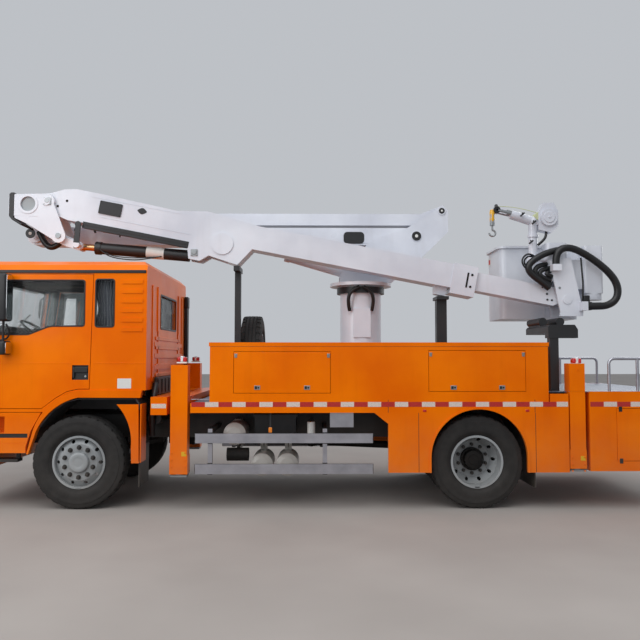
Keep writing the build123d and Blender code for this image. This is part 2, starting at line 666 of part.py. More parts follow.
def locker_body():
    bodies = []
    for side_name, side in SIDES.items():
        outer = side * BODY_HALF
        inner = side * (BODY_HALF - LOCKER_DEPTH)
        box = block(LOCKER_FRONT, LOCKER_REAR, inner, outer, DECK_TOP, LOCKER_TOP)
        for room_side, start, end in LOCKER_ROOMS:
            if room_side == side_name:
                box -= block(start, end, inner + side * LOCKER_WALL, outer - side * DOOR_THICKNESS,
                             1290, LOCKER_TOP - LOCKER_WALL)
        for name, (door_side, start, end, low_z, high) in LOCKER_DOORS.items():
            if door_side == side_name:
                box -= block(start - DOOR_GAP, end + DOOR_GAP, outer + side,
                             outer - side * (DOOR_THICKNESS + 5), low_z - DOOR_GAP, high + DOOR_GAP)
                box -= flap_pins(name, FIT)
        # Lip of the lid along the top
        box += block(LOCKER_FRONT - LID_PROUD, LOCKER_REAR + LID_PROUD, inner,
                     outer, LOCKER_TOP - LID_LIP, LOCKER_TOP)
        bodies.append(box)
    return bodies


def deck_plate():
    inner = BODY_HALF - LOCKER_DEPTH
    front = HOUSING_FRONT_END + 25
    middle = block(front, HOUSING_REAR_START - 25, -inner, inner, DECK_TOP - DECK_PLATE, DECK_TOP)
    middle += block(front, LOCKER_FRONT - 20, -BODY_HALF + 55, BODY_HALF - 55,
                    DECK_TOP - DECK_PLATE, DECK_TOP)
    half = BODY_HALF - 60
    rear = block(LOCKER_REAR + 20, REAR_X - 2, -half, half, REAR_DECK_TOP - DECK_PLATE, REAR_DECK_TOP)
    # The legs of the rear outriggers stand in notches of the deck
    leg = OUTRIGGERS["rear"]
    notch = leg["width"] / 2 + 15
    for side_name, side in SIDES.items():
        rear -= block(leg[side_name] - notch, leg[side_name] + notch, side * (half + 5),
                      side * (BODY_HALF - LEG_DEPTH - 10), REAR_DECK_TOP - 20, REAR_DECK_TOP + 5)
    # So does the stand of the bucket's rest, in a slot from the deck's front edge
    slot = BUCKET_POST_WIDTH / 2 + 5
    rear -= block(LOCKER_REAR + 15, BUCKET_POST_X + slot, BUCKET_POST_Y - slot, BUCKET_POST_Y + slot,
                  REAR_DECK_TOP - 20, REAR_DECK_TOP + 5)
    # Bearers carry the rear deck on the sub-frame
    for side in SIDES.values():
        rear += block(HOUSING_REAR_END + 30, REAR_X - 30, side * (RAIL_HALF - SUBFRAME_WIDTH),
                      side * RAIL_HALF, DECK_TOP - DECK_PLATE, REAR_DECK_TOP - DECK_PLATE)
    return [middle, rear]


# Side skirts: the band under the lockers, the rear skirt with its wheel arch, the tool boxes
BAND_FRONT = CAB_REAR + 512
BAND_LOW = 1082
BAND_TOP = 1231
ARCH_X = WHEELBASE + 13
SKIRT_FRONT = ARCH_X - 1026
SKIRT_SLOPE = 157
SKIRT_REAR = {"left": ARCH_X + 1015, "right": ARCH_X + 792}
FILLER_START = ARCH_X + 1007
SKIRT_LOW = 413
SKIRT_THICKNESS = 40
ARCH_Z = 576
ARCH_RADIUS = 544
ARCH_LIP = 17
ARCH_PROUD = 12
TOOLBOX_FRONT = WHEELBASE + 1265
TOOLBOX_LOW = 426
TOOLBOX_DEPTH = 560
TOOLBOX_WALL = 30
TOOLBOX_DOOR = {"start": TOOLBOX_FRONT + 309, "end": REAR_X - 90, "low": 542, "high": 1125}


def toolbox_pins(grow):
    x = TOOLBOX_DOOR["start"] + FLAP_AXIS_INSET
    y = SIDES["left"] * (BODY_HALF - FLAP_AXIS_INSET)
    return rod_z(x, y, FLAP_PIN_RADIUS + grow, TOOLBOX_DOOR["low"] - FLAP_PIN_REACH - grow,
                 TOOLBOX_DOOR["high"] + FLAP_PIN_REACH + grow)


def toolbox_door():
    side = SIDES["left"]
    outer = side * BODY_HALF
    start, end = TOOLBOX_DOOR["start"], TOOLBOX_DOOR["end"]
    low_z, high = TOOLBOX_DOOR["low"], TOOLBOX_DOOR["high"]
    door = block(start, end, outer, outer - side * DOOR_THICKNESS, low_z, high)
    x = start + FLAP_AXIS_INSET
    y = side * (BODY_HALF - FLAP_AXIS_INSET)
    door -= block(start, x, y, outer, low_z - 1, high + 1) - rod_z(x, y, FLAP_AXIS_INSET,
                                                                  low_z - 2, high + 2)
    door -= block(start + 60, end - 60, outer - side * (DOOR_THICKNESS + 1), outer - side * 12,
                  low_z + 60, high - 60)
    return door + toolbox_pins(0)


def lower_body():
    pieces = []
    for side_name, side in SIDES.items():
        outer = side * BODY_HALF
        inner = outer - side * SKIRT_THICKNESS
        rear = SKIRT_REAR[side_name]
        panel = [(BAND_FRONT, BAND_LOW), (SKIRT_FRONT - SKIRT_SLOPE, BAND_LOW), (SKIRT_FRONT, 957),
                 (SKIRT_FRONT, SKIRT_LOW), (rear, SKIRT_LOW), (rear, DECK_TOP - FIT),
                 (BAND_FRONT, DECK_TOP - FIT)]
        skirt = prism_y(panel, inner, outer)
        lip = rod_y(ARCH_X, ARCH_Z, ARCH_RADIUS + ARCH_LIP, inner, outer + side * ARCH_PROUD)
        lip += block(ARCH_X - ARCH_RADIUS - ARCH_LIP, ARCH_X + ARCH_RADIUS + ARCH_LIP, inner,
                     outer + side * ARCH_PROUD, SKIRT_LOW, ARCH_Z)
        lip -= block(ARCH_X - 700, ARCH_X + 700, inner - side, outer + side * 20, -100, SKIRT_LOW)
        opening = rod_y(ARCH_X, ARCH_Z, ARCH_RADIUS, inner - side * 2, outer + side * 20)
        opening += block(ARCH_X - ARCH_RADIUS, ARCH_X + ARCH_RADIUS, inner - side * 2,
                         outer + side * 20, SKIRT_LOW - 20, ARCH_Z)
        skirt = skirt + lip - opening
        if side_name == "left":
            skirt += block(LOCKER_REAR + 15, rear, inner, outer, DECK_TOP - 5, REAR_DECK_TOP - 25)
        # Outer bearer under the lockers, carried by brackets from the frame
        skirt += block(LOCKER_FRONT, LOCKER_REAR, inner, side * (BODY_HALF - 110),
                       DECK_TOP - 60, DECK_TOP - FIT)
        for x in (LOCKER_FRONT + 223, LOCKER_FRONT + 1123, SKIRT_FRONT - 47):
            skirt += block(x - 30, x + 30, side * (RAIL_HALF + FIT), inner, DECK_TOP - 100,
                           DECK_TOP - 20)
        pieces.append(skirt)
        box = block(TOOLBOX_FRONT, REAR_X, outer, outer - side * TOOLBOX_DEPTH, TOOLBOX_LOW,
                    REAR_DECK_TOP - DECK_PLATE - FIT)
        box += block(TOOLBOX_FRONT, REAR_X, outer, outer - side * 50, 1290, REAR_DECK_TOP)
        box += block(TOOLBOX_FRONT + 200, REAR_X - 150, outer - side * TOOLBOX_DEPTH,
                     side * (RAIL_HALF + FIT), 760, 960)
        if side_name == "left":
            box -= block(TOOLBOX_DOOR["start"] - 80, REAR_X - TOOLBOX_WALL,
                         outer - side * (TOOLBOX_DEPTH - TOOLBOX_WALL),
                         outer - side * DOOR_THICKNESS, TOOLBOX_DOOR["low"] - 60,
                         REAR_DECK_TOP - 90)
            box -= block(TOOLBOX_DOOR["start"] - DOOR_GAP, TOOLBOX_DOOR["end"] + DOOR_GAP,
                         outer + side, outer - side * (DOOR_THICKNESS + 5),
                         TOOLBOX_DOOR["low"] - DOOR_GAP, TOOLBOX_DOOR["high"] + DOOR_GAP)
            box -= toolbox_pins(FIT)
        else:
            # Panel between the leg of the right outrigger and the box
            box += block(FILLER_START, TOOLBOX_FRONT + 5, outer, inner, SKIRT_LOW, REAR_DECK_TOP - 25)
        # Tail lamp housing on the rear face
        box -= block(REAR_X - 25, REAR_X + 5, outer - side * 80, outer - side * 380, 900, 1010)
        for number in range(3):
            lamp_y = outer - side * (130 + 100 * number)
            box += rod_x(lamp_y, 955, 44, REAR_X - 40, REAR_X - 4)
        pieces.append(box)
    return pieces


# Tanks, battery box and silencer on the frame, placed from the front of the band
TANK_RADIUS = 128
TANK_DOME = 45
# Air tanks across the frame: x, z
AIR_TANKS = [(BAND_FRONT + 475, 826), (BAND_FRONT + 790, 474), (BAND_FRONT + 1082, 474)]
TANK_START = RAIL_HALF + 95
TANK_END = BODY_HALF - 170
FUEL_START = BAND_FRONT + 278
FUEL_END = FUEL_START + 1160


# Side guards: two aluminium rails on posts in front of the tanks and behind them
GUARD_RAIL_START = BAND_FRONT + 51
GUARD_RAIL_END = SKIRT_FRONT - 171
GUARD_RAIL_THICK = 30
GUARD_RAILS = [(742, 848), (398, 508)]
GUARD_POSTS = [GUARD_RAIL_START + 167, FUEL_END + 75]


def side_guards():
    guards = []
    for side in SIDES.values():
        outer = side * (BODY_HALF - 20)
        inner = outer - side * GUARD_RAIL_THICK
        guard = block(GUARD_POSTS[0] - 25, GUARD_POSTS[0] + 25, inner, inner - side * 40, 398, 900)
        guard += block(GUARD_POSTS[1] - 25, GUARD_POSTS[1] + 25, inner, inner - side * 40, 398, 900)
        for low_z, high in GUARD_RAILS:
            rail = block(GUARD_RAIL_START, GUARD_RAIL_END, inner, outer, low_z, high)
            groove = (high - low_z) / 3
            rail -= block(GUARD_RAIL_START - 1, GUARD_RAIL_END + 1, outer - side * 4, outer + side,
                          low_z + groove, high - groove)
            guard += rail
        for x in GUARD_POSTS:
            guard += block(x - 25, x + 25, inner - side * 40, side * (RAIL_HALF + FIT), 850, 900)
        guards.append(guard)
    return guards


def domed_tank(x, z, side):
    """Cylinder across the frame with pressed ends."""
    y0, y1 = TANK_START, TANK_END
    profile = [(y0 + TANK_DOME, 0), (y0 + 8, 0), (y0 + 16, TANK_RADIUS * 0.6),
               (y0 + TANK_DOME, TANK_RADIUS), (y1 - TANK_DOME, TANK_RADIUS),
               (y1 - 16, TANK_RADIUS * 0.6), (y1 - 8, 0), (y1 - TANK_DOME, 0)]
    return turned_y(profile, x, 0, side).moved(Location((0, 0, z)))


def tanks():
    left = SIDES["left"]
    pieces = []
    for x, z in AIR_TANKS:
        tank = domed_tank(x, z, left)
        # Strap bracket to the rail
        tank += block(x - 40, x + 40, left * (RAIL_HALF + FIT), left * (TANK_START + 160),
                      max(z + 60, 740), 960)
        tank += block(x - 40, x + 40, left * (TANK_START + 100), left * (TANK_START + 160), z, 960)
        pieces.append(tank)
    right = SIDES["right"]
    inner, outer = right * (RAIL_HALF + 55), right * (BODY_HALF - 130)
    fuel = prism_x([(inner, 480), (outer, 480), (outer, 940), (inner, 940)],
                   FUEL_START, FUEL_END, 70)
    for x in (FUEL_START + 200, FUEL_END - 200):
        fuel += block(x - 40, x + 40, right * (RAIL_HALF + FIT), inner + right * 5, 760, 900)
    fuel += rod_z(FUEL_START + 180, outer - right * 140, 50, 930, 985)
    pieces.append(fuel)
    return pieces


def battery_box():
    left = SIDES["left"]
    outer = left * (BODY_HALF - 320)
    start = FUEL_START + 420
    box = block(start, start + 480, left * (RAIL_HALF + FIT), outer, 780, 1010)
    box += block(start - 20, start + 500, left * (RAIL_HALF + 45), outer + left * 20, 1010, 1040)
    drum = rod_x(outer + left * 80, 590, 75, start - 310, start - 60)
    hanger = block(start - 200, start - 160, left * (RAIL_HALF + FIT), outer + left * 70, 640, 680)
    hanger += block(start - 200, start - 160, left * (RAIL_HALF + FIT), left * (RAIL_HALF + 25),
                    640, 820)
    can_x = start + 660
    filter_can = rod_z(can_x, outer + left * 90, 45, 800, 960)
    filter_can += block(can_x - 20, can_x + 20, left * (RAIL_HALF + FIT), outer + left * 90, 900, 930)
    return [box, drum + hanger, filter_can]


# Spare wheel: stands across the deck in a cradle behind the cab
SPARE_X = LOCKER_FRONT + 365
SPARE_Y = BODY_HALF - LOCKER_DEPTH - TYRE_RADIUS - 28
SPARE_WIDTH = 275
SPARE_CRADLE = 40
SPARE_CRADLE_HALF = 300


def spare_wheel():
    z = DECK_TOP + SPARE_CRADLE + TYRE_RADIUS - 20
    half = SPARE_WIDTH / 2
    profile = [(-half + 30, 300), (half - 30, 300), (half, 350), (half - 12, 450),
               (half - 45, TYRE_RADIUS - 14), (half - 75, TYRE_RADIUS), (-half + 75, TYRE_RADIUS),
               (-half + 45, TYRE_RADIUS - 14), (-half + 12, 450), (-half, 350)]
    tyre = turned_y(profile, 0, 0)
    rim_profile = [(-half + 20, 250), (-half + 20, 300), (half - 20, 300), (half - 20, 250),
                   (half - 60, 240), (half - 70, 90), (half - 90, 90), (half - 90, 235),
                   (-half + 60, 240)]
    rim = turned_y(rim_profile, 0, 0)
    wheel = Rot(0, 0, 90) * (tyre + rim)
    wheel = Pos(SPARE_X, SPARE_Y, z) * wheel
    near, far = SPARE_Y - SPARE_CRADLE_HALF, SPARE_Y + SPARE_CRADLE_HALF
    cradle = block(SPARE_X - half - 60, SPARE_X + half + 60, near, far, DECK_TOP + FIT, DECK_TOP + 30)
    for x in (SPARE_X - half - 45, SPARE_X + half + 45):
        cradle += block(x - 15, x + 15, near, far, DECK_TOP + FIT, DECK_TOP + 260)
    middle = block(SPARE_X - half - 50, SPARE_X + half + 50, near + 140, far - 140, DECK_TOP + 30,
                   DECK_TOP + 60)
    return wheel + (cradle + middle)


# Posts on the deck that carry the stowed boom and bucket
BOOM_MIDDLE_Y = -380
FRONT_POST_X = LOCKER_FRONT + 220
FRONT_POST_WIDTH = 75
FRONT_POST_TOP = 2835
TURRET_X = WHEELBASE - 1233
MID_POST_X = TURRET_X + 987
MID_POST_WIDTH = 126
MID_POST_TOP = 2465
BUCKET_POST_X = TURRET_X + 2182
BUCKET_POST_Y = 250 - BODY_HALF
BUCKET_POST_WIDTH = 100
BUCKET_PAD_TOP = 2187
BUCKET_PAD_RADIUS = 50


def boom_rests():
    rests = []
    y = BOOM_MIDDLE_Y
    half = FRONT_POST_WIDTH / 2
    post = block(FRONT_POST_X - half, FRONT_POST_X + half, y - half, y + half, DECK_TOP + FIT,
                 FRONT_POST_TOP)
    post += block(FRONT_POST_X - half, FRONT_POST_X + half, y - 190, y + 190,
                  FRONT_POST_TOP - 60, FRONT_POST_TOP)
    post += prism_y([(FRONT_POST_X - half, DECK_TOP + FIT), (FRONT_POST_X - 300, DECK_TOP + FIT),
                     (FRONT_POST_X - half, DECK_TOP + 500)], y - 8, y + 8)
    rests.append(post)
    half = MID_POST_WIDTH / 2
    column = block(MID_POST_X - half, MID_POST_X + half, y - half, y + half, DECK_TOP + FIT,
                   MID_POST_TOP)
    column += block(MID_POST_X - half - 12, MID_POST_X + half + 12, y - 150, y + 150,
                    MID_POST_TOP - 40, MID_POST_TOP)
    rests.append(column)
    half = BUCKET_POST_WIDTH / 2
    x, y = BUCKET_POST_X, BUCKET_POST_Y
    # The bucket's stand goes through the deck and stands on the outrigger housing
    stand = block(x - half, x + half, y - half, y + half, HOUSING_TOP + FIT, 1960)
    front, rear = x - 71, x + 276
    stand += block(front, rear, y - 60, y + 60, 1930, 1990)
    cross = prism_y([(front, 1990), (rear, 1990), (rear, 2030), (rear - 35, 2085), (front + 22, 2085),
                     (front, 2060)], y - 60, BOOM_MIDDLE_Y + 160)
    stand += cross
    for pad_x in (front + 60, front + 272):
        stand += rod_y(pad_x, BUCKET_PAD_TOP - BUCKET_PAD_RADIUS, BUCKET_PAD_RADIUS, y + 300,
                       BOOM_MIDDLE_Y + 160)
        stand += block(pad_x - 30, pad_x + 30, y + 320, BOOM_MIDDLE_Y + 140, 2080, 2130)
    rests.append(stand)
    return rests


HANDRAIL_RADIUS = 17
HANDRAIL_X = [TOOLBOX_FRONT + 240, TOOLBOX_FRONT + 565, REAR_X - 70]
HANDRAIL_INSET = 25
HANDRAIL_TOP = 1690


def handrails():
    rails = []
    for side in SIDES.values():
        y = side * (BODY_HALF - HANDRAIL_INSET)
        low = REAR_DECK_TOP + FIT
        first, middle, last = HANDRAIL_X
        path = FilletPolyline((first, y, low), (first, y, HANDRAIL_TOP), (last, y, HANDRAIL_TOP),
                              (last, y, low), radius=60)
        rail = sweep(Plane(origin=(first, y, low), z_dir=(0, 0, 1)) * Circle(HANDRAIL_RADIUS), path)
        rail += rod_z(middle, y, HANDRAIL_RADIUS, low, HANDRAIL_TOP)
        rails.append(rail)
    return rails


# Pedestal that carries the turret
PEDESTAL_RADIUS = 267
PEDESTAL_TOP = 2530
COLLAR_RADIUS = 310
COLLAR_TOP = 2610
PEDESTAL_FLANGE = 390


def pedestal():
    tube = rod_z(TURRET_X, 0, PEDESTAL_RADIUS, DECK_TOP + FIT, PEDESTAL_TOP)
    tube -= rod_z(TURRET_X, 0, PEDESTAL_RADIUS - 25, DECK_TOP + 60, PEDESTAL_TOP + 5)
    tube += rod_z(TURRET_X, 0, PEDESTAL_FLANGE, DECK_TOP + FIT, DECK_TOP + 30)
    for number in range(8):
        angle = 45 * number
        gusset = prism_y([(PEDESTAL_RADIUS - 12, DECK_TOP + 20), (PEDESTAL_FLANGE - 15, DECK_TOP + 20),
                          (PEDESTAL_RADIUS - 12, DECK_TOP + 320)], -8, 8)
        tube += Pos(TURRET_X, 0, 0) * Rot(0, 0, angle) * gusset
    # Access cover on the left, under the hose collar
    tube += block(TURRET_X - 110, TURRET_X + 110, -PEDESTAL_RADIUS - 8, -PEDESTAL_RADIUS + 60,
                  1960, 2330)
    return tube


def hose_collar():
    ring = rod_z(TURRET_X, 0, COLLAR_RADIUS, PEDESTAL_TOP + FIT, COLLAR_TOP)
    return ring


# Outriggers: two beams side by side in each housing, each with a jack at its outer end
BEAM_LOW = 1075
BEAM_WIDTH = 150
BEAM_HEIGHT = 160
BEAM_HEADROOM = 10
BEAM_WALL = 10
BEAM_SIDE_GAP = 5
HOUSING_WALL = 12
HOUSING_TOP = BEAM_LOW - FIT + BEAM_HEIGHT + BEAM_HEADROOM + HOUSING_WALL
LEG_DEPTH = 160
HOUSING_HALF = BODY_HALF - LEG_DEPTH - 30
HOUSING_TAIL = BODY_HALF - 50
BEAM_OVERLAP = BODY_HALF - 350
LEG_WALL = 12
LEG_GAP = 0.5
BEAM_TRAVEL = 1000
JACK_TRAVEL = 450
FOOT_RADIUS = 92
FOOT_NECK_RADIUS = 60
LEG_CASING = 6
# Outriggers: end, beam centre x of the left and right beam, leg low z, leg top z, leg width
OUTRIGGERS = {
    "front": {"left": CAB_REAR + 385, "right": CAB_REAR + 147, "low": 369, "top": 1619,
              "beam": BEAM_LOW, "width": 190},
    "rear": {"left": WHEELBASE + 1130, "right": WHEELBASE + 912, "low": 424, "top": 1635,
             "beam": BEAM_LOW, "width": 175},
}


def outrigger_housings():
    housings = []
    for end in OUTRIGGERS.values():
        low = end["beam"] - FIT
        for side_name, side in SIDES.items():
            x = end[side_name]
            half = BEAM_WIDTH / 2 + BEAM_SIDE_GAP
            box = block(x - half - HOUSING_WALL, x + half + HOUSING_WALL, side * HOUSING_HALF,
                        -side * HOUSING_TAIL, HOUSING_BOTTOM + FIT,
                        HOUSING_TOP)
            box -= block(x - half, x + half, side * (HOUSING_HALF + 1),
                         -side * (HOUSING_TAIL - HOUSING_WALL), low, HOUSING_TOP - HOUSING_WALL)
            housings.append(box)
        x0 = min(end["left"], end["right"]) + BEAM_WIDTH / 2
        x1 = max(end["left"], end["right"]) - BEAM_WIDTH / 2
        for y in (-BEAM_OVERLAP, 0, BEAM_OVERLAP):
            housings.append(block(x0, x1, y - 60, y + 60, HOUSING_BOTTOM + FIT, low + 120))
    return fuse(housings)


def outrigger_beam(end_name, side_name):
    end = OUTRIGGERS[end_name]
    side = SIDES[side_name]
    x = end[side_name]
    outer = side * BODY_HALF
    inner = side * (BODY_HALF - LEG_DEPTH)
    beam = block(x - BEAM_WIDTH / 2, x + BEAM_WIDTH / 2, inner + side * 5, -side * BEAM_OVERLAP,
                 end["beam"], end["beam"] + BEAM_HEIGHT)
    beam -= block(x - BEAM_WIDTH / 2 + BEAM_WALL, x + BEAM_WIDTH / 2 - BEAM_WALL, inner - side * 40,
                  -side * (BEAM_OVERLAP + 1), end["beam"] + BEAM_WALL,
                  end["beam"] + BEAM_HEIGHT - BEAM_WALL)
    half = end["width"] / 2
    leg = block(x - half, x + half, inner, outer, end["low"] + 30, end["top"])
    leg += block(x - half - LEG_CASING, x + half + LEG_CASING, inner, outer, end["low"] + 30,
                 end["low"] + 240)
    bore = block(x - half + LEG_WALL, x + half - LEG_WALL, inner + side * LEG_WALL,
                 outer - side * LEG_WALL, end["low"] - 1, end["top"] - LEG_WALL)
    return beam + leg - bore


def outrigger_jack(end_name, side_name):
    end = OUTRIGGERS[end_name]
    side = SIDES[side_name]
    x = end[side_name]
    y = side * (BODY_HALF - LEG_DEPTH / 2)
    half_x = end["width"] / 2 - LEG_WALL - LEG_GAP
    half_y = LEG_DEPTH / 2 - LEG_WALL - LEG_GAP
    jack = block(x - half_x, x + half_x, y - half_y, y + half_y, end["low"] + 32, end["top"] - 60)
    jack += rod_z(x, y, FOOT_NECK_RADIUS, end["low"] + 10, end["low"] + 34)
    foot = block(x - FOOT_RADIUS, x + FOOT_RADIUS, y - LEG_DEPTH / 2 + 4, y + LEG_DEPTH / 2 - 4,
                 end["low"], end["low"] + 20)
    return jack + foot


# Steering knuckles and wheels
KNUCKLE_GAP = 2
KNUCKLE_REACH = 110
HUB_RADIUS = 62
DRUM_RADIUS = 205
RIM_HALF_WIDTH = 120
RIM_SEAT_RADIUS = 286
FLANGE_WIDTH = 12
FRONT_DISC_ROOT = FRONT_TRACK_HALF + 50
FRONT_DISC_FACE = FRONT_TRACK_HALF + 106
HAND_HOLE_RADIUS = 20
HAND_HOLE_CIRCLE = 238
REAR_HUB_RADIUS = 130
REAR_CAP_RADIUS = 108
DUAL_FACE = REAR_OUTER_HALF - DUAL_SPACING / 2


def steering_knuckle(side):
    z = TYRE_RADIUS
    y = side * KINGPIN_HALF
    web = side * (KINGPIN_HALF + 60)
    knuckle = rod_z(0, y, KINGPIN_RADIUS, z - KNUCKLE_REACH, z + KNUCKLE_REACH)
    for z0, z1 in [(z - KNUCKLE_REACH, z - 62 - KNUCKLE_GAP), (z + 62 + KNUCKLE_GAP, z + KNUCKLE_REACH)]:
        knuckle += rod_z(0, y, 50, z0, z1)
        knuckle += block(-45, 45, y, web + side * 25, z0, z1)
    knuckle += block(-45, 45, web, web + side * 25, z - KNUCKLE_REACH, z + KNUCKLE_REACH)
    knuckle += rod_y(0, z, STUB_RADIUS, web, side * (FRONT_TRACK_HALF + 92))
    # Steering arm, back from the lower ear
    knuckle += prism_z([(30, y - side * 40), (30, y + side * 10), (190, y - side * 50),
                        (190, y - side * 90)], z - KNUCKLE_REACH, z - KNUCKLE_REACH + 25)
    return knuckle


def rim_ring(centre, root, face):
    """Wheel rim: a barrel with two flanges and a dished disc from root to face."""
    half = RIM_HALF_WIDTH
    seat = RIM_SEAT_RADIUS
    barrel = [(centre - half, RIM_RADIUS), (centre - half + FLANGE_WIDTH, RIM_RADIUS),
              (centre - half + FLANGE_WIDTH, seat), (centre + half - FLANGE_WIDTH, seat),
              (centre + half - FLANGE_WIDTH, RIM_RADIUS), (centre + half, RIM_RADIUS),
              (centre + half, seat - RIM_WALL), (centre - half, seat - RIM_WALL)]
    disc = [(root - 7, seat - 8), (root + 7, seat - 8), (face + 6, 205), (face + 6, HUB_RADIUS - 2),
            (face - 6, HUB_RADIUS - 2), (face - 6, 199)]
    ring = turned_y(barrel, 0, 0) + turned_y(disc, 0, 0)
    middle = (root + face) / 2
    for number in range(WHEEL_STUDS):
        hole = rod_y(0, 0, HAND_HOLE_RADIUS, middle - 45, middle + 45)
        ring -= Rot(0, 360 * number / WHEEL_STUDS, 0) * Pos(HAND_HOLE_CIRCLE, 0, 0) * hole
    return ring


def place_wheel(ring, x, side):
    if side < 0:
        ring = mirror(ring, about=Plane.XZ)
    return Pos(x, 0, TYRE_RADIUS) * ring


def front_rim(side):
    centre = FRONT_TRACK_HALF
    ring = rim_ring(centre, FRONT_DISC_ROOT, FRONT_DISC_FACE)
    hub = [(centre - 58, HUB_RADIUS), (centre + 112, HUB_RADIUS), (centre + 112, 110),
           (centre + 140, 100), (centre + 146, 85), (centre + 146, 0), (centre + 96, 0),
           (centre + 96, STUB_RADIUS + FIT), (centre - 58, STUB_RADIUS + FIT)]
    drum = [(centre - 58, HUB_RADIUS - 5), (centre - 58, DRUM_RADIUS), (centre + 90, DRUM_RADIUS),
            (centre + 90, DRUM_RADIUS - 18), (centre - 40, DRUM_RADIUS - 18), (centre - 40, HUB_RADIUS - 5)]
    face_ring = [(FRONT_DISC_FACE - 70, HUB_RADIUS - 5), (FRONT_DISC_FACE - 70, DRUM_RADIUS - 15),
                 (FRONT_DISC_FACE - 4, 150), (FRONT_DISC_FACE - 4, HUB_RADIUS - 5)]
    ring += turned_y(hub, 0, 0) + turned_y(drum, 0, 0) + turned_y(face_ring, 0, 0)
    return place_wheel(ring, 0, side)


def tyre_ring(centre):
    half = TYRE_WIDTH / 2
    bead = RIM_SEAT_RADIUS + FIT
    bead_half = RIM_HALF_WIDTH - FLANGE_WIDTH - FIT
    profile = [(centre - bead_half, bead), (centre + bead_half, bead), (centre + bead_half, 302),
               (centre + half, 370), (centre + half - 4, 445), (centre + half - 18, TYRE_RADIUS - 14),
               (centre + half - 34, TYRE_RADIUS), (centre - half + 34, TYRE_RADIUS),
               (centre - half + 18, TYRE_RADIUS - 14), (centre - half + 4, 445),
               (centre - half, 370), (centre - bead_half, 302)]
    return turned_y(profile, 0, 0)


def front_tyre(side):
    return place_wheel(tyre_ring(FRONT_TRACK_HALF), 0, side)


def rear_rims(side):
    outer_centre = REAR_OUTER_HALF
    inner_centre = REAR_OUTER_HALF - DUAL_SPACING
    outer = rim_ring(outer_centre, outer_centre - 60, DUAL_FACE + 6)
    inner = rim_ring(inner_centre, inner_centre + 60, DUAL_FACE - 6)
    tube_end = inner_centre - 120
    spindle_end = REAR_OUTER_HALF - 90
    hub = [(DUAL_FACE - 60, REAR_SPINDLE_RADIUS + FIT), (DUAL_FACE - 60, REAR_HUB_RADIUS),
           (DUAL_FACE + 60, REAR_HUB_RADIUS), (DUAL_FACE + 60, REAR_CAP_RADIUS),
           (DUAL_FACE + 125, REAR_CAP_RADIUS - 8), (DUAL_FACE + 125, 0), (spindle_end + 4, 0),
           (spindle_end + 4, REAR_SPINDLE_RADIUS + FIT)]
    drum = [(DUAL_FACE - 40, REAR_HUB_RADIUS - 5), (DUAL_FACE - 40, DRUM_RADIUS),
            (tube_end + 30, DRUM_RADIUS), (tube_end + 30, DRUM_RADIUS - 18),
            (DUAL_FACE - 60, DRUM_RADIUS - 18), (DUAL_FACE - 60, REAR_HUB_RADIUS - 5)]
    face_ring = [(DUAL_FACE - 50, REAR_HUB_RADIUS - 5), (DUAL_FACE - 50, 190), (DUAL_FACE, 195),
                 (DUAL_FACE, REAR_HUB_RADIUS - 5)]
    ring = outer + inner + turned_y(hub, 0, 0) + turned_y(drum, 0, 0) + turned_y(face_ring, 0, 0)
    return place_wheel(ring, WHEELBASE, side)


def rear_tyres(side):
    pair = [tyre_ring(REAR_OUTER_HALF), tyre_ring(REAR_OUTER_HALF - DUAL_SPACING)]
    return [place_wheel(tyre, WHEELBASE, side) for tyre in pair]


# Mirrors on the doors
MIRROR_BACK = -765
MIRROR_OUT = CAB_HALF + 200
MIRROR_BAR_X = -825
MIRROR_BAR_Y = CAB_HALF + 100


def mirrors(side):
    """Two mirror heads on an upright bar, drawn on the right and mirrored for the left."""
    bar = rod_z(MIRROR_BAR_X, MIRROR_BAR_Y, 14, 1760, 2630)
    y_door = CAB_HALF - 12
    for start_x, start_z, end_z in [(-1050, 2620, 2610), (-1100, 1905, 1990)]:
        bar += rod_between((start_x, y_door, start_z), (MIRROR_BAR_X, MIRROR_BAR_Y, end_z), 14)
    for z0, z1 in [(2119, 2632), (1743, 1878)]:
        bar += rounded_box(MIRROR_BACK - 110, MIRROR_BACK, CAB_HALF + 22, MIRROR_OUT, z0, z1, 30)
    return bar if side > 0 else mirror(bar, about=Plane.XZ)


# The boom is drawn over a turret at TURRET_DRAWN_X and then moved to TURRET_X.
TURRET_DRAWN_X = 3267

# Boom pins: the lower arm, its levelling link, turret and elbow make a parallelogram
ARM_MIDDLE_Y = 100
ARM_WIDTH = 260
ARM_HEIGHT = 236
ARM_PIN = (4000, 3295)
LINK_OFFSET = (335, 335)
ARM_LENGTH = 4990
ELBOW_ARM_PIN = (ARM_PIN[0] - ARM_LENGTH, ARM_PIN[1])
LINK_PIN = (ARM_PIN[0] + LINK_OFFSET[0], ARM_PIN[1] + LINK_OFFSET[1])
BOOM_PIN = (ELBOW_ARM_PIN[0] + LINK_OFFSET[0], ELBOW_ARM_PIN[1] + LINK_OFFSET[1])
ARM_PIN_RADIUS = 50
LINK_PIN_RADIUS = 38
BOOM_PIN_RADIUS = 48
ARM_END_RADIUS = 115
LINK_END_RADIUS = 72
LINK_HALF = 100
LINK_LOW = 3450
LINK_HIGH = 3603
CHEEK_GAP = 10
CHEEK = 30
CHEEK_NEAR = ARM_MIDDLE_Y - ARM_WIDTH / 2 - CHEEK_GAP
CHEEK_FAR = ARM_MIDDLE_Y + ARM_WIDTH / 2 + CHEEK_GAP
BOOM_WIDTH = 300
BOOM_SLOPE = 10.9
TURRET_PLATE_RADIUS = 400
TURRET_PLATE_LOW = 2625
TURRET_PLATE_TOP = 2665

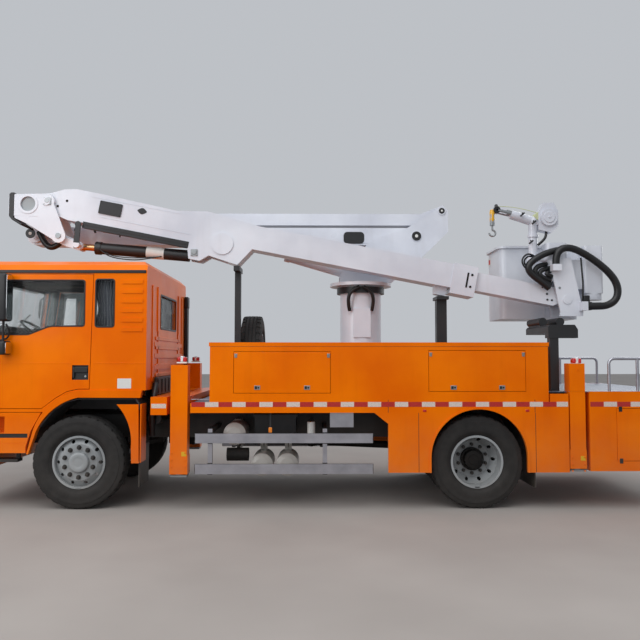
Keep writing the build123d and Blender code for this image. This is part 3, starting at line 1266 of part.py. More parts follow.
# Lift cylinder under the lower arm, luff cylinder under the upper boom
LIFT_BASE = (3384, 2745)
LIFT_EYE = (2150, 3105)
LIFT_BARREL_RADIUS = 80
LIFT_ROD_RADIUS = 50
LIFT_BARREL_END = 1150
LUFF_BASE_UV = (1918, -299)
LUFF_EYE_UV = (465, -453)
LUFF_BARREL_RADIUS = 73
LUFF_ROD_RADIUS = 42
LUFF_BARREL_END = 1270
CYLINDER_PIN_RADIUS = 32
CYLINDER_EYE_RADIUS = 58
ROD_EYE_RADIUS = 46
EYE_HALF = 38
BARREL_START = 88
BARREL_BASE = 14
ELBOW_KNEE = (-502, 3203)


def boom_point(u, v):
    """Point of the upper boom, u along it from its pin and v square to it."""
    slope = math.radians(BOOM_SLOPE)
    x = BOOM_PIN[0] + u * math.cos(slope) + v * math.sin(slope)
    z = BOOM_PIN[1] - u * math.sin(slope) + v * math.cos(slope)
    return x, z


def boom_prism(points, y0, y1, radius=0):
    return prism_y([boom_point(u, v) for u, v in points], y0, y1, radius)


def boom_block(u0, u1, v0, v1, half_width):
    points = [(u0, v0), (u1, v0), (u1, v1), (u0, v1)]
    return boom_prism(points, BOOM_MIDDLE_Y - half_width, BOOM_MIDDLE_Y + half_width)


def turret():
    x, z = ARM_PIN
    body = rod_z(TURRET_DRAWN_X, 0, TURRET_PLATE_RADIUS, TURRET_PLATE_LOW, TURRET_PLATE_TOP)
    body += rod_z(TURRET_DRAWN_X, 0, COLLAR_RADIUS - 20, COLLAR_TOP + FIT, TURRET_PLATE_LOW + 1)
    cheek = [(2994, 2660), (2994, 2780), (3400, 3240), (3865, 3395), (4225, 3618), (4341, 3712),
             (4418, 3640), (4418, 3356), (4233, 3170), (4070, 3017), (3640, 2660)]
    far_face = CHEEK_FAR + CHEEK
    near_face = CHEEK_NEAR - CHEEK
    body += prism_y(cheek, near_face, CHEEK_NEAR)
    body += prism_y(cheek, CHEEK_FAR, far_face)
    # Back plate between the cheeks, and the pins with their caps
    body += prism_y([(3590, 2660), (3625, 2660), (4060, 3010), (4030, 3030)], CHEEK_NEAR - 1,
                    CHEEK_FAR + 1)
    for (pin_x, pin_z), radius in [(ARM_PIN, ARM_PIN_RADIUS), (LINK_PIN, LINK_PIN_RADIUS)]:
        body += rod_y(pin_x, pin_z, radius, near_face - 10, far_face + 10)
        body += rod_y(pin_x, pin_z, radius + 14, near_face - 12, near_face + 1)
        body += rod_y(pin_x, pin_z, radius + 14, far_face - 1, far_face + 12)
    # Lugs of the lift cylinder
    x, z = LIFT_BASE
    for y0, y1 in [(ARM_MIDDLE_Y - 75, ARM_MIDDLE_Y - EYE_HALF - 5),
                   (ARM_MIDDLE_Y + EYE_HALF + 5, ARM_MIDDLE_Y + 75)]:
        body += block(x - 60, x + 60, y0, y1, TURRET_PLATE_TOP - 5, z)
        body += rod_y(x, z, 60, y0, y1)
    body += rod_y(x, z, CYLINDER_PIN_RADIUS, ARM_MIDDLE_Y - 80, ARM_MIDDLE_Y + 80)
    return body


def lower_arm():
    half = ARM_WIDTH / 2
    y0, y1 = ARM_MIDDLE_Y - half, ARM_MIDDLE_Y + half
    x0, z = ELBOW_ARM_PIN
    x1 = ARM_PIN[0]
    low, high = z - ARM_END_RADIUS, z - ARM_END_RADIUS + ARM_HEIGHT - 6
    arm = block(x0, x1, y0, y1, low, high)
    arm += rod_y(x0, z, ARM_END_RADIUS, y0, y1) + rod_y(x1, z, ARM_END_RADIUS, y0, y1)
    # Doubler plates near both ends
    for start, end in [(x0 + 60, x0 + 620), (x1 - 700, x1 - 60)]:
        arm += block(start, end, y0 - 5, y1 + 5, z - 85, z + 85)
    lug_x, lug_z = LIFT_EYE
    near, far = LIFT_ROD_RADIUS + 6, LIFT_ROD_RADIUS + 40
    for lug_y0, lug_y1 in [(ARM_MIDDLE_Y - far, ARM_MIDDLE_Y - near),
                           (ARM_MIDDLE_Y + near, ARM_MIDDLE_Y + far)]:
        arm += prism_y([(lug_x - 150, low + 5), (lug_x - 50, lug_z - 20), (lug_x + 50, lug_z - 20),
                        (lug_x + 150, low + 5)], lug_y0, lug_y1)
        arm += rod_y(lug_x, lug_z, 52, lug_y0, lug_y1)
    arm -= rod_y(x0, z, ARM_PIN_RADIUS + FIT, y0 - 10, y1 + 10)
    arm -= rod_y(x1, z, ARM_PIN_RADIUS + FIT, y0 - 10, y1 + 10)
    return arm


def arm_link():
    y0, y1 = ARM_MIDDLE_Y - LINK_HALF, ARM_MIDDLE_Y + LINK_HALF
    front_x, pin_z = BOOM_PIN
    rear_x = LINK_PIN[0]
    link = block(front_x + 230, rear_x - 230, y0, y1, LINK_LOW, LINK_HIGH)
    for x, inward in [(front_x, 1), (rear_x, -1)]:
        crank = [(x - inward * 30, pin_z + 60), (x + inward * 60, pin_z + 55),
                 (x + inward * 270, LINK_HIGH), (x + inward * 270, LINK_LOW),
                 (x + inward * 200, LINK_LOW), (x - inward * 30, pin_z - 60)]
        link += prism_y(crank, y0, y1)
        link += rod_y(x, pin_z, LINK_END_RADIUS, y0, y1)
    for x in (front_x, rear_x):
        link -= rod_y(x, pin_z, LINK_PIN_RADIUS + FIT, y0 - 5, y1 + 5)
    return link


ELBOW_PLATE = 25
ELBOW_NEAR = -575
ELBOW_INNER = -210
ELBOW_TUBE = {"x": -881, "z": 3600, "radius": 110, "bore": 92, "collar": 122}


def elbow():
    knee_x, knee_z = ELBOW_KNEE
    boom_side = [(-1057, 3453), (-1045, 3721), (-618, 3728), (-533, 3520), (-418, 3222),
                 (-582, 3175), (-745, 3440)]
    arm_side = [(-1057, 3400), (-1045, 3721), (-618, 3728), (-575, 3600), (-690, 3470),
                (-900, 3225), (-1080, 3260)]
    near_face = CHEEK_NEAR - CHEEK
    far_face = CHEEK_FAR + CHEEK
    # The first plate starts the body, and the rest are joined by the tube and the front guard
    tube = ELBOW_TUBE
    body = rod_y(tube["x"], tube["z"], tube["radius"], ELBOW_NEAR, far_face)
    body += rod_y(tube["x"], tube["z"], tube["collar"], ELBOW_NEAR - 8, ELBOW_NEAR + ELBOW_PLATE)
    for y0, y1 in [(ELBOW_NEAR, ELBOW_NEAR + ELBOW_PLATE), (ELBOW_INNER, ELBOW_INNER + ELBOW_PLATE)]:
        body += prism_y(boom_side, y0, y1)
        body += rod_y(knee_x, knee_z, 85, y0, y1)
        body += rod_y(*BOOM_PIN, 95, y0, y1)
    for y0, y1 in [(near_face, CHEEK_NEAR), (CHEEK_FAR, far_face)]:
        body += prism_y(arm_side, y0, y1)
        body += rod_y(*ELBOW_ARM_PIN, 92, y0, y1)
        body += rod_y(*BOOM_PIN, 92, y0, y1)
    body -= rod_y(tube["x"], tube["z"], tube["bore"], ELBOW_NEAR - 20, far_face + 20)
    body += block(-1118, -1048, ELBOW_NEAR, far_face, 3455, 3718)
    body += rod_y(*BOOM_PIN, BOOM_PIN_RADIUS, ELBOW_NEAR - 14, ELBOW_INNER + ELBOW_PLATE)
    body += rod_y(*BOOM_PIN, LINK_PIN_RADIUS, near_face - 10, far_face + 10)
    body += rod_y(*ELBOW_ARM_PIN, ARM_PIN_RADIUS, near_face - 10, far_face + 10)
    # Knee bar, and the two struts that hold the eye of the luff cylinder
    body += rod_y(knee_x, knee_z, 40, ELBOW_NEAR, ELBOW_INNER + ELBOW_PLATE)
    eye_x, eye_z = boom_point(*LUFF_EYE_UV)
    for y0, y1 in [(BOOM_MIDDLE_Y - 85, BOOM_MIDDLE_Y - EYE_HALF - 12),
                   (BOOM_MIDDLE_Y + EYE_HALF + 12, BOOM_MIDDLE_Y + 85)]:
        strut = [(knee_x - 15, knee_z + 55), (knee_x - 25, knee_z - 50), (eye_x - 10, eye_z - 50),
                 (eye_x + 15, eye_z + 50)]
        body += prism_y(strut, y0, y1)
        body += rod_y(knee_x, knee_z, 58, y0, y1)
        body += rod_y(eye_x, eye_z, 52, y0, y1)
    # Brace plate from the eye up beside the boom
    brace_x, brace_z = boom_point(438, -203)
    body += prism_y([(eye_x - 35, eye_z), (eye_x + 35, eye_z), (brace_x + 30, brace_z),
                     (brace_x - 30, brace_z)], ELBOW_NEAR, ELBOW_NEAR + ELBOW_PLATE)
    body += rod_y(brace_x, brace_z, 38, ELBOW_NEAR, ELBOW_NEAR + ELBOW_PLATE)
    body += rod_y(eye_x, eye_z, 40, ELBOW_NEAR, BOOM_MIDDLE_Y - 84)
    return body


# Upper boom: deep root web, outer box and the inner box that slides in it
BOOM_BOX = {"low": -92, "high": 205, "end": 5414, "wall": 12}
INNER_BOX = {"low": -68, "high": 160, "half": 120, "start": 2260, "end": 6480}
BORE_START = 2200
COLLAR_START = 5110
COLLAR_GROW = 14
PAD_LENGTH = 150
SHOE_WIDTH = 70
TIP_UV = (6560, 30)
TIP_PIN_RADIUS = 34
TIP_HALF = 60


def upper_boom():
    half = BOOM_WIDTH / 2
    y0, y1 = BOOM_MIDDLE_Y - half, BOOM_MIDDLE_Y + half
    box = BOOM_BOX
    web = [(0, 112), (173, 199), (318, 230), (668, 228), (1027, 216), (1590, 201), (1971, 267),
           (2648, box["high"]), (box["end"], box["high"]), (box["end"], box["low"]),
           (2604, box["low"]), (2459, -320), (2087, -272), (1990, -358), (1850, -358),
           (1795, -179), (680, -162), (295, -174), (0, -112)]
    boom = boom_prism(web, y0, y1)
    boom += rod_y(*BOOM_PIN, 112, y0, y1)
    boom += boom_block(COLLAR_START, box["end"], -160, box["high"] + COLLAR_GROW, half + 15)
    # Disc boss, cover plate and the boss of the hose tray on the near side
    boom += rod_y(*boom_point(2227, -96), 135, y0 - 14, y0 + 1)
    boom += boom_prism([(640, -16), (922, -16), (922, 146), (640, 146)], y0 - 6, y0 + 1, 20)
    # Bore of the inner box, narrower in the collar where its slide pads are
    wall = box["wall"]
    boom -= boom_block(BORE_START, box["end"] - PAD_LENGTH, box["low"] + wall, box["high"] - wall,
                       half - wall)
    inner = INNER_BOX
    boom -= boom_block(BORE_START, box["end"] + 5, inner["low"] - FIT, inner["high"] + FIT,
                       inner["half"] + FIT)
    # Slot for the luff cylinder's base
    slot = LUFF_BARREL_RADIUS + 10
    boom -= boom_prism([(1700, -420), (2330, -420), (2330, -186), (1700, -186)],
                       BOOM_MIDDLE_Y - slot, BOOM_MIDDLE_Y + slot)
    boom += rod_y(*boom_point(*LUFF_BASE_UV), CYLINDER_PIN_RADIUS, y0, y1)
    boom -= rod_y(*BOOM_PIN, BOOM_PIN_RADIUS + FIT, y0 - 5, y1 + 5)
    # Shoe that meets the rest post behind the turret
    boom += boom_prism([(4945, -200), (5075, -200), (5095, box["low"] + 5), (4925, box["low"] + 5)],
                       BOOM_MIDDLE_Y - SHOE_WIDTH, BOOM_MIDDLE_Y + SHOE_WIDTH)
    return boom


def boom_inner():
    box = INNER_BOX
    outer = BOOM_BOX
    beam = boom_prism([(box["start"], box["low"]), (box["end"] - 60, box["low"]),
                       (box["end"], box["low"] + 40), (box["end"], box["high"] - 70),
                       (box["end"] - 90, box["high"]), (box["start"], box["high"])],
                      BOOM_MIDDLE_Y - box["half"], BOOM_MIDDLE_Y + box["half"])
    # Rear slide pads fill the bore of the outer box
    wall = outer["wall"] + FIT
    beam += boom_block(box["start"], box["start"] + PAD_LENGTH, outer["low"] + wall,
                       outer["high"] - wall, BOOM_WIDTH / 2 - wall)
    tip_u, tip_v = TIP_UV
    beam += boom_block(box["end"] - 20, tip_u, tip_v - 65, tip_v + 65, TIP_HALF)
    beam += rod_y(*boom_point(*TIP_UV), 65, BOOM_MIDDLE_Y - TIP_HALF, BOOM_MIDDLE_Y + TIP_HALF)
    beam -= rod_y(*boom_point(*TIP_UV), TIP_PIN_RADIUS + FIT, BOOM_MIDDLE_Y - 200,
                  BOOM_MIDDLE_Y + 200)
    return beam


def cylinder_barrel(base, eye, y, radius, bore, length):
    """Barrel on the line from its base pin to the rod's eye."""
    direction = (Vector(eye[0], 0, eye[1]) - Vector(base[0], 0, base[1])).normalized()
    start = Vector(base[0], y, base[1])
    barrel = rod_between(tuple(start + direction * BARREL_START),
                         tuple(start + direction * length), radius)
    barrel += rod_between(tuple(start + direction * 45),
                          tuple(start + direction * (BARREL_START + 5)), EYE_HALF)
    barrel += rod_between(tuple(start + direction * (length - 70)),
                          tuple(start + direction * length), radius + 9)
    barrel += rod_y(base[0], base[1], CYLINDER_EYE_RADIUS, y - EYE_HALF, y + EYE_HALF)
    barrel -= rod_y(base[0], base[1], CYLINDER_PIN_RADIUS + FIT, y - 200, y + 200)
    barrel -= rod_between(tuple(start + direction * (BARREL_START + BARREL_BASE)),
                          tuple(start + direction * (length + 5)), bore)
    return barrel


def cylinder_rod(base, eye, y, radius):
    direction = (Vector(eye[0], 0, eye[1]) - Vector(base[0], 0, base[1])).normalized()
    start = Vector(base[0], y, base[1])
    end = Vector(eye[0], y, eye[1])
    tail = BARREL_START + BARREL_BASE + 5
    rod = rod_between(tuple(start + direction * tail), tuple(end), radius)
    rod += rod_y(eye[0], eye[1], ROD_EYE_RADIUS, y - EYE_HALF, y + EYE_HALF)
    return rod


def luff_points():
    return boom_point(*LUFF_BASE_UV), boom_point(*LUFF_EYE_UV)


# Platform bracket: stays level at the boom's tip and carries the bucket's swing drive
BRACKET_NEAR = -560
BRACKET_FAR = -200
BRACKET_PLATE = 30
DRIVE_X = 6157
DRIVE_HALF = 116
DRIVE_LOW = 2505
DRIVE_TOP = 3103
SPIGOT_RADIUS = 45
JIB_X = 5436
JIB_SEAT_Z = 2990
JIB_POST_RADIUS = 55
JIB_SPIGOT_RADIUS = 30


def platform_bracket():
    side_plate = [(5706, 2270), (5581, 2916), (5846, 2947), (5990, 2266)]
    middle = BOOM_MIDDLE_Y
    bracket = prism_y(side_plate, BRACKET_NEAR, BRACKET_NEAR + BRACKET_PLATE)
    bracket += prism_y(side_plate, BRACKET_FAR - BRACKET_PLATE, BRACKET_FAR)
    bracket += prism_y([(5990, 2266), (5846, 2947), (5824, 2944), (5966, 2266)], BRACKET_NEAR,
                       BRACKET_FAR)
    bracket += prism_y([(5581, 2916), (5846, 2947), (5846, 2922), (5586, 2891)], BRACKET_NEAR,
                       BRACKET_FAR)
    bracket += prism_y([(5581, 2916), (5632, 2655), (5654, 2655), (5603, 2916)], BRACKET_NEAR,
                       BRACKET_FAR)
    # Pin at the boom's tip, pads under the plates
    tip_x, tip_z = boom_point(*TIP_UV)
    bracket += rod_y(tip_x, tip_z, TIP_PIN_RADIUS, BRACKET_NEAR - 12, BRACKET_FAR + 12)
    bracket += rod_y(tip_x, tip_z, 55, BRACKET_NEAR - 10, BRACKET_NEAR + 1)
    bracket += rod_y(tip_x, tip_z, 55, BRACKET_FAR - 1, BRACKET_FAR + 10)
    for y0, y1 in [(BRACKET_NEAR, BRACKET_NEAR + BRACKET_PLATE),
                   (BRACKET_FAR - BRACKET_PLATE, BRACKET_FAR)]:
        bracket += prism_y([(5700, 2215), (5985, 2215), (5990, 2270), (5706, 2270)], y0, y1)
    # Swing drive behind the bracket
    bracket += rounded_box(DRIVE_X - DRIVE_HALF, DRIVE_X + DRIVE_HALF, middle - 125, middle + 125,
                           DRIVE_LOW, DRIVE_TOP, 30)
    bracket += prism_y([(5925, 2560), (DRIVE_X - DRIVE_HALF + 5, 2560),
                        (DRIVE_X - DRIVE_HALF + 5, 2930), (5848, 2930)], middle - 90, middle + 90)
    bracket -= rod_z(DRIVE_X, middle, SPIGOT_RADIUS + FIT, DRIVE_LOW - 5, DRIVE_LOW + 70)
    # Valve cover on top and the arm of the jib's socket
    bracket += rounded_box(5572, 5835, middle - 120, middle + 120, 2922, 3140, 40)
    bracket += block(JIB_X, 5600, middle - 60, middle + 60, 2925, JIB_SEAT_Z)
    bracket += rod_z(JIB_X, middle, 78, 2925, JIB_SEAT_Z)
    bracket -= rod_z(JIB_X, middle, JIB_SPIGOT_RADIUS + FIT, 2920, JIB_SEAT_Z + 5)
    # Glands of the hose loop on the near plate
    (start_x, start_z), (end_x, end_z) = HOSE_ROUTE[0], HOSE_ROUTE[-1]
    gland = HOSE_RADIUS + 8
    bracket += block(start_x - gland, start_x + gland, HOSE_Y - gland, BRACKET_NEAR + 1,
                     start_z - 80, start_z)
    bracket += block(end_x - 70, end_x, HOSE_Y - gland, BRACKET_NEAR + 1, end_z - gland,
                     end_z + gland)
    return bracket


# Hose loop beside the swing drive: (x, z) points in one upright plane
HOSE_RADIUS = 46
HOSE_Y = -614
HOSE_ROUTE = [(5640, 2850), (5640, 2965), (5715, 3055), (5840, 3060), (5995, 2985), (6150, 2880),
              (6285, 2765), (6380, 2640), (6408, 2510), (6368, 2400), (6262, 2341), (6135, 2334),
              (6010, 2334)]


def hose_radii():
    """Arc at each corner: 0.45 of the shorter run over the tangent of half the turn."""
    radii = []
    for before, corner, after in zip(HOSE_ROUTE, HOSE_ROUTE[1:], HOSE_ROUTE[2:]):
        run_in = math.dist(before, corner)
        run_out = math.dist(corner, after)
        heading_in = math.atan2(corner[1] - before[1], corner[0] - before[0])
        heading_out = math.atan2(after[1] - corner[1], after[0] - corner[0])
        turn = abs(math.remainder(heading_out - heading_in, 2 * math.pi))
        radii.append(0.45 * min(run_in, run_out) / math.tan(turn / 2))
    return radii


def hose_loop():
    radii = hose_radii()
    print("hose arc radii", [round(radius) for radius in radii])
    path = FilletPolyline(*[(x, HOSE_Y, z) for x, z in HOSE_ROUTE], radius=radii)
    start_x, start_z = HOSE_ROUTE[0]
    section = Plane(origin=(start_x, HOSE_Y, start_z), z_dir=(0, 0, 1)) * Circle(HOSE_RADIUS)
    return sweep(section, path)


# Bucket with its frame
BUCKET = {"front": 5104, "rear": 6132, "near": -50, "far": 610, "low": 2208, "top": 3168}
BUCKET_WALL = 14
BUCKET_RIM = 30
BUCKET_RIM_HEIGHT = 28
BUCKET_CORNER = 90


def bucket():
    b = BUCKET
    shell = rounded_box(b["front"], b["rear"], b["near"], b["far"], b["low"], b["top"], BUCKET_CORNER)
    shell += rounded_box(b["front"] - BUCKET_RIM, b["rear"] + BUCKET_RIM, b["near"] - BUCKET_RIM,
                         b["far"] + BUCKET_RIM, b["top"] - BUCKET_RIM_HEIGHT, b["top"],
                         BUCKET_CORNER + BUCKET_RIM)
    wall = BUCKET_WALL
    shell -= rounded_box(b["front"] + wall, b["rear"] - wall, b["near"] + wall, b["far"] - wall,
                         b["low"] + 25, b["top"] + 5, BUCKET_CORNER - wall)
    return shell


def bucket_frame():
    middle = BOOM_MIDDLE_Y
    seat = BUCKET["near"] - FIT
    frame = rod_z(DRIVE_X, middle, 130, DRIVE_LOW - 80, DRIVE_LOW - FIT)
    frame += rod_z(DRIVE_X, middle, SPIGOT_RADIUS, DRIVE_LOW - 10, DRIVE_LOW + 60)
    frame += block(DRIVE_X - 110, DRIVE_X + 60, middle, seat - 20, DRIVE_LOW - 80, DRIVE_LOW - 25)
    frame += block(5860, 6120, seat - 34, seat, 2290, 3080)
    frame += prism_x([(middle + 60, DRIVE_LOW - 78), (seat - 30, DRIVE_LOW - 78),
                      (seat - 30, 2300)], DRIVE_X - 110, DRIVE_X - 80)
    return frame


# Jib with its winch and hook
JIB_KNEE = (JIB_X, 3429)
JIB_TIP = (4975, 3575)
JIB_TUBE_END = (5155, 3521)
PULLEY_RADIUS = 50
ROPE_RADIUS = 5
WINCH_X = 5613
WINCH_Z = 3467


def jib():
    y = BOOM_MIDDLE_Y
    knee_x, knee_z = JIB_KNEE
    body = rod_z(JIB_X, y, JIB_POST_RADIUS, JIB_SEAT_Z + FIT, knee_z)
    body += rod_z(JIB_X, y, JIB_SPIGOT_RADIUS, JIB_SEAT_Z - 60, JIB_SEAT_Z + 5)
    body += rod_z(JIB_X, y, JIB_POST_RADIUS + 12, 3225, 3260)
    body += Pos(knee_x, y, knee_z) * Sphere(66)
    end_x, end_z = JIB_TUBE_END
    tip_x, tip_z = JIB_TIP
    body += rod_between((knee_x, y, knee_z), (end_x, y, end_z), 58)
    body += rod_between((end_x, y, end_z), (tip_x + 60, y, tip_z - 14), 36)
    for side in (-1, 1):
        body += prism_y([(tip_x + 120, tip_z - 60), (tip_x + 120, tip_z + 10), (tip_x - 20, tip_z + 45),
                         (tip_x - 20, tip_z - 30)], y + side * 22, y + side * 36)
    body += rod_y(tip_x, tip_z, PULLEY_RADIUS, y - 14, y + 14)
    body += rod_y(tip_x, tip_z, 12, y - 40, y + 40)
    # Winch housing with its drum and round cover
    body += prism_y([(WINCH_X - 125, WINCH_Z - 150), (WINCH_X - 125, WINCH_Z + 60),
                     (WINCH_X - 60, WINCH_Z + 192), (WINCH_X + 70, WINCH_Z + 192),
                     (WINCH_X + 126, WINCH_Z + 90), (WINCH_X + 126, WINCH_Z - 110),
                     (WINCH_X + 40, WINCH_Z - 190)], y - 70, y + 70)
    body += rod_y(WINCH_X, WINCH_Z, 105, y - 110, y + 110)
    body += block(knee_x, WINCH_X - 100, y - 45, y + 45, knee_z - 50, knee_z + 40)
    return body


def hook():
    y = BOOM_MIDDLE_Y
    x = JIB_TIP[0] - PULLEY_RADIUS - ROPE_RADIUS - FIT
    cover_top = JIB_TIP[1] - 50
    body = rod_z(x, y, ROPE_RADIUS, cover_top - 5, JIB_TIP[1])
    body += rounded_box(x - 27, x + 27, y - 27, y + 27, cover_top - 150, cover_top, 14)
    body += rod_z(x, y, 13, cover_top - 200, cover_top - 145)
    bend_z = cover_top - 245
    ring = Pos(x, y, bend_z) * Rot(90, 0, 0) * Torus(38, 12)
    gap = block(x - 60, x - 5, y - 20, y + 20, bend_z + 2, bend_z + 60)
    return body + (ring - gap)


# Every node with its solids
def all_nodes():
    lift_base, lift_eye = LIFT_BASE, LIFT_EYE
    luff_base, luff_eye = luff_points()
    nodes = {
        "chassis_frame": chassis_frame(),
        "axles": [front_axle(), rear_axle()],
        "engine_block": engine_block(),
        "cab_shell": cab_shell(),
        "cab_glass": cab_glass(),
        "cab_seats": cab_seats(),
        "dashboard": dashboard(),
        "front_bumper": front_bumper(),
        "mudguards": mudguards() + mud_flaps(),
        "locker_body": locker_body(),
        "deck_plate": deck_plate(),
        "lower_body": lower_body(),
        "side_guards": side_guards(),
        "tanks": tanks() + battery_box(),
        "spare_wheel": spare_wheel(),
        "boom_rests": boom_rests(),
        "handrails": handrails(),
        "pedestal": pedestal() + hose_collar(),
        "outrigger_housings": outrigger_housings(),
        "toolbox_door": toolbox_door(),
        "turret": turret(),
        "lower_arm": lower_arm(),
        "arm_link": arm_link(),
        "elbow": elbow(),
        "upper_boom": upper_boom(),
        "boom_inner": boom_inner(),
        "lift_barrel": cylinder_barrel(lift_base, lift_eye, ARM_MIDDLE_Y, LIFT_BARREL_RADIUS,
                                       LIFT_ROD_RADIUS + FIT, LIFT_BARREL_END),
        "lift_rod": cylinder_rod(lift_base, lift_eye, ARM_MIDDLE_Y, LIFT_ROD_RADIUS),
        "luff_barrel": cylinder_barrel(luff_base, luff_eye, BOOM_MIDDLE_Y, LUFF_BARREL_RADIUS,
                                       LUFF_ROD_RADIUS + FIT, LUFF_BARREL_END),
        "luff_rod": cylinder_rod(luff_base, luff_eye, BOOM_MIDDLE_Y, LUFF_ROD_RADIUS),
        "platform_bracket": platform_bracket(),
        "hose_loop": hose_loop(),
        "bucket_frame": bucket_frame(),
        "bucket": bucket(),
        "jib": jib(),
        "hook": hook(),
    }
    for name in LOCKER_DOORS:
        nodes[name] = locker_door(name)
    for side_name, side in SIDES.items():
        nodes[f"cab_door_{side_name}"] = [cab_door(side), mirrors(side)]
        nodes[f"knuckle_{side_name}"] = steering_knuckle(side)
        nodes[f"front_rim_{side_name}"] = front_rim(side)
        nodes[f"front_tyre_{side_name}"] = front_tyre(side)
        nodes[f"rear_rims_{side_name}"] = rear_rims(side)
        nodes[f"rear_tyres_{side_name}"] = rear_tyres(side)
        for end_name in OUTRIGGERS:
            nodes[f"beam_{end_name}_{side_name}"] = outrigger_beam(end_name, side_name)
            nodes[f"jack_{end_name}_{side_name}"] = outrigger_jack(end_name, side_name)
    return nodes


def solids_of(pieces):
    if isinstance(pieces, list):
        return [solid for piece in pieces for solid in solids_of(piece)]
    return list(pieces.solids())


# What rides on the turret
BOOM_NODES = ["turret", "lower_arm", "arm_link", "elbow", "upper_boom", "boom_inner", "lift_barrel",
              "lift_rod", "luff_barrel", "luff_rod", "platform_bracket", "hose_loop", "bucket_frame",
              "bucket", "jib", "hook"]

os.makedirs("parts", exist_ok=True)
to_middle = Location((-(FRONT_X + REAR_X) / 2, 0, 0))
to_turret = Location((TURRET_X - TURRET_DRAWN_X, 0, 0))
for name, pieces in all_nodes().items():
    place = to_middle * to_turret if name in BOOM_NODES else to_middle
    solids = [solid.moved(place) for solid in solids_of(pieces)]
    node = solids[0] if len(solids) == 1 else Compound(children=solids)
    export_step(node, f"parts/{name}.step")
print("written", len(os.listdir("parts")), "nodes")
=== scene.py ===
import fnmatch
import math
import bmesh
import bpy
from mathutils import Matrix, Vector


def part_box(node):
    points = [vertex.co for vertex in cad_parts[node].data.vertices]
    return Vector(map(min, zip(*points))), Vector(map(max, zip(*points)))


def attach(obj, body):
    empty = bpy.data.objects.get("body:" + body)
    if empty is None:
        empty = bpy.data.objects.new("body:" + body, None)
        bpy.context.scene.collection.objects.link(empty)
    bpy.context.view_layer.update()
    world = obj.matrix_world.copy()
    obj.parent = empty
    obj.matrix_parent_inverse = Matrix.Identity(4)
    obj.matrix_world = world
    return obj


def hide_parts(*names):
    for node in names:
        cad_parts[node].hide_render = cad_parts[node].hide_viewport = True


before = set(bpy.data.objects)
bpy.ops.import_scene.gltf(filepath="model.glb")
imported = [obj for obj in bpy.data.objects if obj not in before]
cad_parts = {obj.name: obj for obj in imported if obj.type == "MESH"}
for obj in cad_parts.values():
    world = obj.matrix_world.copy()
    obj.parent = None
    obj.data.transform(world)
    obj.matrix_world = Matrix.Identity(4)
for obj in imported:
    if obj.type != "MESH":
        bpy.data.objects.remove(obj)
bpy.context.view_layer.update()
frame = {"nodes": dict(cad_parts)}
cadNodes = frame["nodes"]
print("frame loaded with", len(cadNodes), "nodes")

# The truck is measured from its front axle in millimetres, and the frame from its middle in metres
axleToMiddle = 2780
tau = 2 * math.pi


def at(x, y, z):
    return Vector(((x - axleToMiddle) / 1000, y / 1000, z / 1000))


# ---- materials: one function for colours and one for nodes
def hexColor(code):
    channels = [int(code[i:i + 2], 16) / 255 for i in (0, 2, 4)]
    linear = [c / 12.92 if c <= 0.04045 else ((c + 0.055) / 1.055) ** 2.4 for c in channels]
    return (*linear, 1)


def addNode(tree, kind, settings=None, links=None):
    node = tree.nodes.new(kind)
    for name, value in (settings or {}).items():
        if name in node.inputs:
            node.inputs[name].default_value = value
        else:
            setattr(node, name, value)
    for name, source in (links or {}).items():
        tree.links.new(source, node.inputs[name])
    return node


def startMaterial(name, roughness, metallic=0.0, **shaderSettings):
    material = bpy.data.materials.new(name)
    material.use_nodes = True
    tree = material.node_tree
    shader = tree.nodes["Principled BSDF"]
    shader.inputs["Roughness"].default_value = roughness
    shader.inputs["Metallic"].default_value = metallic
    for label, value in shaderSettings.items():
        shader.inputs[label.replace("_", " ")].default_value = value
    place = addNode(tree, "ShaderNodeTexCoord").outputs["Object"]
    return material, tree, shader, place


def ramp(tree, fac, stops):
    node = addNode(tree, "ShaderNodeValToRGB", links={"Fac": fac})
    points = node.color_ramp.elements
    while len(points) < len(stops):
        points.new(0.5)
    for point, (position, code) in zip(points, stops):
        point.position = position
        point.color = hexColor(code)
    return node.outputs["Color"]


def skin(tree, shader, color, relief, depth, strength=0.5):
    # colour and fine relief, depth in metres
    if color:
        tree.links.new(color, shader.inputs["Base Color"])
    node = addNode(tree, "ShaderNodeBump", {"Distance": depth, "Strength": strength},
                   {"Height": relief})
    tree.links.new(node.outputs["Normal"], shader.inputs["Normal"])


def roughen(tree, shader, fac, low, high):
    rough = addNode(tree, "ShaderNodeMapRange", {"To Min": low, "To Max": high}, {"Value": fac})
    tree.links.new(rough.outputs[0], shader.inputs["Roughness"])


def mixColors(tree, fac, first, second):
    node = addNode(tree, "ShaderNodeMix", {"data_type": "RGBA"})
    tree.links.new(fac, node.inputs[0])
    for socket, color in ((node.inputs[6], first), (node.inputs[7], second)):
        if isinstance(color, str):
            socket.default_value = hexColor(color)
        else:
            tree.links.new(color, socket)
    return node.outputs[2]


def mathNode(tree, operation, first, second):
    node = addNode(tree, "ShaderNodeMath", {"operation": operation})
    for socket, value in zip(node.inputs, (first, second)):
        if isinstance(value, (int, float)):
            socket.default_value = value
        else:
            tree.links.new(value, socket)
    return node.outputs[0]


def noise(tree, place, scale, detail=3, stretch=None):
    if stretch:
        place = addNode(tree, "ShaderNodeMapping", {"Scale": stretch}, {"Vector": place}).outputs[0]
    return addNode(tree, "ShaderNodeTexNoise", {"Scale": scale, "Detail": detail},
                   {"Vector": place}).outputs["Fac"]


def mottle(tree, place, scale, detail, codes, low=0.3, high=0.7):
    # two shades that drift into each other
    return ramp(tree, noise(tree, place, scale, detail), [(low, codes[0]), (high, codes[1])])


def cellsOf(tree, place, scale, **settings):
    return addNode(tree, "ShaderNodeTexVoronoi", {"Scale": scale, **settings},
                   {"Vector": place}).outputs["Distance"]


